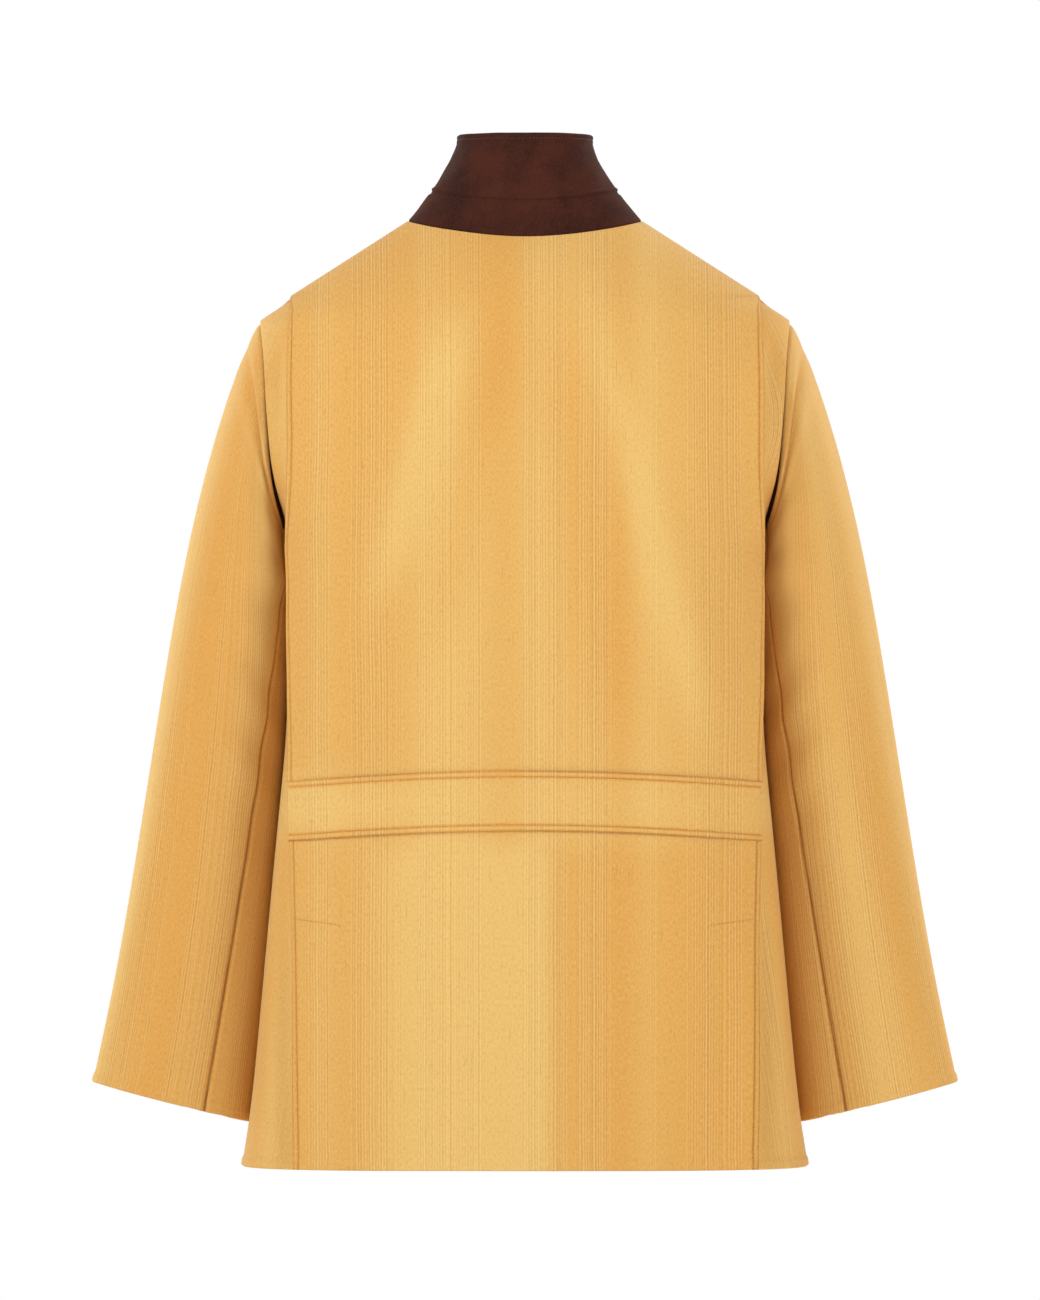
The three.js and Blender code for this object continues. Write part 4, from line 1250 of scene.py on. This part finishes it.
def pocket_grid(x_low, x_high, low, high, lift_at, corner):
    """A patch on the front with rounded lower corners. lift_at gives how far it stands off."""
    place, rise = np.meshgrid(run_steps(x_high - x_low, POCKET_CELL), run_steps(high - low, POCKET_CELL))
    width = x_high - x_low
    away = np.minimum(place, width - place)
    cut = corner * (1 - np.sqrt(np.clip(1 - (1 - np.clip(away / corner, 0, 1)) ** 2, 0, 1)))
    level = low + mix(cut, high - low, rise / (high - low))
    angle = -angle_at_x(x_low + place, level)
    distance = {"side": away, "low": rise, "high": high - low - rise}
    more = edge_profile(np.minimum(away, rise), True, True)
    mid, normal = body_surface(angle, level, lift_at(distance) + more / 2)
    cloth = np.stack([(x_low + place) * MM, level * MM, 0.45 + 0.1 * wander(place, 71, 80)], -1)
    return {"mid": mid, "normal": normal, "thick": CLOTH + more, "cloth": cloth,
            "base": body_point(angle, level)}


def edge_rows(grid):
    """Stitch lines up one side, along the lower edge and up the other side."""
    inner = slice(STITCH_STEP, -1 - STITCH_STEP)
    return [grid_row(grid, slice(STITCH_STEP, None), STITCH_STEP),
            grid_row(grid, STITCH_STEP, inner),
            grid_row(grid, slice(STITCH_STEP, None), -1 - STITCH_STEP)]


def build_pockets():
    base = LAYER + GAP + 0.1
    above = FLAP_TOP - POCKET_LOW - POCKET_HEIGHT

    def bag_lift(d):
        return base + (POCKET_DEPTH - 0.8) * smooth(d["side"], 5, 26) * smooth(d["low"], 5, 30)

    def flap_lift(d):
        over = np.sin(math.pi / 2 * np.clip(d["high"] / (above * 0.8), 0, 1))
        return base + 0.3 + (POCKET_DEPTH + LAYER) * over

    right = POCKET_X + POCKET_WIDTH
    bag = pocket_grid(POCKET_X, right, POCKET_LOW, POCKET_LOW + POCKET_HEIGHT, bag_lift, 16)
    flap = pocket_grid(POCKET_X - FLAP_OVERHANG, right + FLAP_OVERHANG, FLAP_TOP - FLAP_HEIGHT, FLAP_TOP,
                       flap_lift, 10)
    for side, sign in SIDES:
        for name, grid, bend, seed in (("patch_pocket", bag, None, 20),
                                       ("pocket_flap", flap, (f"{side}_flap", FLAP_BLEND), 24)):
            grid = on_side(grid, sign)
            sewn = {"name": f"{name}_topstitching_{side}", "rows": edge_rows(grid), "seed": seed + sign}
            add_sheet(f"{name}_cloth_{side}", grid, "shell_cloth", f"{name}_{side}",
                      body=f"{side}_front", bend=bend, sewn=sewn)


def lathe(profile, turns, centre=(0, 0), start=0):
    """A solid turned about an upright axis: its vertices, and faces numbered from start."""
    steps = [math.tau * k / turns for k in range(turns)]
    verts = [(centre[0] + radius * math.cos(a), centre[1] + radius * math.sin(a), height)
             for radius, height in profile for a in steps]
    faces = []
    for ring in range(start, start + (len(profile) - 1) * turns, turns):
        for k in range(turns):
            a, b = ring + k, ring + (k + 1) % turns
            faces.append((a, b, b + turns, a + turns))
    end = start + len(verts)
    return verts, [*faces, tuple(reversed(range(start, start + turns))), tuple(range(end - turns, end))]


def button_mesh():
    """A turned button with a raised rim, a dished middle and four sewing holes."""
    r, t = BUTTON_RADIUS, BUTTON_THICKNESS
    profile = [(r * 0.7, 0), (r - 0.9, 0.25), (r - 0.2, 0.9), (r, 1.7), (r - 0.25, 2.6), (r - 0.9, t - 0.15),
               (r - 1.7, t), (r - 2.5, t - 0.2), (r - 3.2, t - 0.8), (r * 0.45, t - 1.05)]
    body = link_mesh("button_blank", *lathe(profile, 48), "horn")
    holes, hole_faces = [], []
    for i in range(4):
        a = math.pi / 4 + i * math.pi / 2
        centre = (BUTTON_HOLE_OUT * math.cos(a), BUTTON_HOLE_OUT * math.sin(a))
        verts, faces = lathe([(BUTTON_HOLE, -2), (BUTTON_HOLE, t + 2)], 16, centre, len(holes))
        holes += verts
        hole_faces += faces
    cutter = link_mesh("button_cutter", holes, hole_faces, "horn")
    cut = body.modifiers.new("holes", "BOOLEAN")
    cut.object, cut.operation, cut.solver = cutter, "DIFFERENCE", "EXACT"
    graph = bpy.context.evaluated_depsgraph_get()
    mesh = bpy.data.meshes.new_from_object(body.evaluated_get(graph))
    for piece in (body, cutter):
        bpy.data.objects.remove(piece)
    return mesh


def front_frame(x, level, lift, sign):
    """Place and turn of something sewn to a front: its Z stands off the cloth and its X runs across."""
    at = np.array([float(level)])
    point, normal = body_surface(-angle_at_x(np.array([abs(x)]), at), at, np.full(1, lift))
    flip = np.array([sign, 1, 1])
    z = Vector(normal[0] * flip)
    x_axis = Vector((1, 0, 0)) - z * z.x
    x_axis.normalize()
    y_axis = z.cross(x_axis)
    turn = Matrix((x_axis, y_axis, z)).transposed().to_4x4()
    return Matrix.Translation(Vector(point[0] * flip * MM)) @ turn


def line_on(at, *ends):
    """A straight row of stitches between two places given in the axes of what is sewn."""
    points = [at @ (Vector(end) * MM) for end in ends]
    return np.array(points) / MM, np.array([at.to_3x3() @ Vector((0, 0, 1))] * 2)


def build_buttons():
    mesh = button_mesh()
    bend = ("right_front", FRONT_BLEND)
    top = BUTTON_THICKNESS - 0.85
    for i in range(BUTTON_COUNT):
        at = front_frame(BUTTON_X, BUTTON_LOWEST + BUTTON_PITCH * i, CLOTH / 2 + GAP, -1)
        piece = bpy.data.objects.new(f"horn_button_{i + 1}", mesh.copy())
        bpy.context.scene.collection.objects.link(piece)
        piece.data.transform(at @ Matrix.Rotation(0.3 * math.sin(2.1 * i), 4, "Z"))
        piece.data.polygons.foreach_set("use_smooth", [True] * len(piece.data.polygons))
        piece.data.set_sharp_from_angle(angle=math.radians(40))
        attach(piece, "body", f"front_button_{i + 1}", bend)
        rows = [line_on(at, (-1.5, y + dy, top), (1.5, y + dy, top))
                for y in (-BUTTON_THREAD_OUT, BUTTON_THREAD_OUT) for dy in (-0.25, 0.25)]
        thread = stitched_rows(f"button_thread_{i + 1}", rows, pitch=9, length=3.3, width=0.5, height=0.6,
                               seed=40 + i)
        attach(thread, "body", bend=bend)


def build_buttonholes():
    """Worked slits on the wearer's left front, level with the buttons, each with a dark strip of painted
    shadow in its cut.
    """
    bend = ("left_front", FRONT_BLEND)
    half = BUTTONHOLE_HALF
    for i in range(BUTTON_COUNT):
        at = front_frame(BUTTON_X + 2, BUTTON_LOWEST + BUTTON_PITCH * i, CLOTH / 2 + 0.12, 1)
        rows = []
        for x in np.linspace(-half, half, 34):
            rows += [line_on(at, (x, y * 0.45, 0.1), (x, y * 2.1, 0.1)) for y in (-1, 1)]
        for end in (-1, 1):
            rows += [line_on(at, (end * (half - 0.2), y, 0.1), (end * (half + 1.2), y, 0.1))
                     for y in (-1.6, -0.8, 0.0, 0.8, 1.6)]
        worked = stitched_rows(f"buttonhole_stitching_{i + 1}", rows, pitch=5, length=1.9, width=0.72,
                               height=0.7, seed=60 + i)
        attach(worked, "body", bend=bend)
        # A dark brown strip down each slit: a painted shadow standing in for the open cut.
        slit = stitched_rows(f"buttonhole_slit_shadow_{i + 1}", [line_on(at, (-half, 0, 0.05), (half, 0, 0.05))],
                             material="suede_thread", pitch=60, length=2 * half, width=0.9, height=0.35,
                             seed=80)
        attach(slit, "body", bend=bend)


def build_hanger_loop():
    """A curved strap inside the back neck, in place of the CAD's loop."""
    low, high = box_mm("hanger_loop")
    half = (high[0] - low[0]) / 2
    drop = high[2] - low[2]
    thick, band = high[1] - low[1], 5.0
    middle = (low + high) / 2
    turn, share = np.meshgrid(np.linspace(math.pi, math.tau, 61), np.linspace(-0.5, 0.5, 7), indexing="ij")
    x = (half - band / 2 + share * band) * np.cos(turn)
    z = high[2] + (drop - band / 2 + share * band) * np.sin(turn)
    bulge = 0.25 * np.cos(share * math.pi)
    mid = np.stack([middle[0] + x, np.full_like(x, middle[1]) - bulge, z], -1)
    normal = np.zeros_like(mid)
    normal[..., 1] = -1
    cloth = np.stack([share * band * MM, turn * half * MM, np.full_like(x, 0.4)], -1)
    grid = {"mid": mid, "normal": normal, "thick": thick - 0.5, "cloth": cloth}
    piece = sheet_mesh("hanger_loop_cloth", grid, "shell_cloth")
    attach(piece, "loop", "hanger_loop")
    rows = [grid_row(grid, slice(None), 1), grid_row(grid, slice(None), 5)]
    seams = stitched_rows("hanger_loop_topstitching", rows, pitch=2.6, length=2.0, width=0.5, height=0.4,
                          seed=91)
    attach(seams, "loop")


build_back()
build_back_inside()
build_sides()
build_fronts()
build_sleeves()
build_collar()
build_pockets()
build_buttons()
build_buttonholes()
build_hanger_loop()
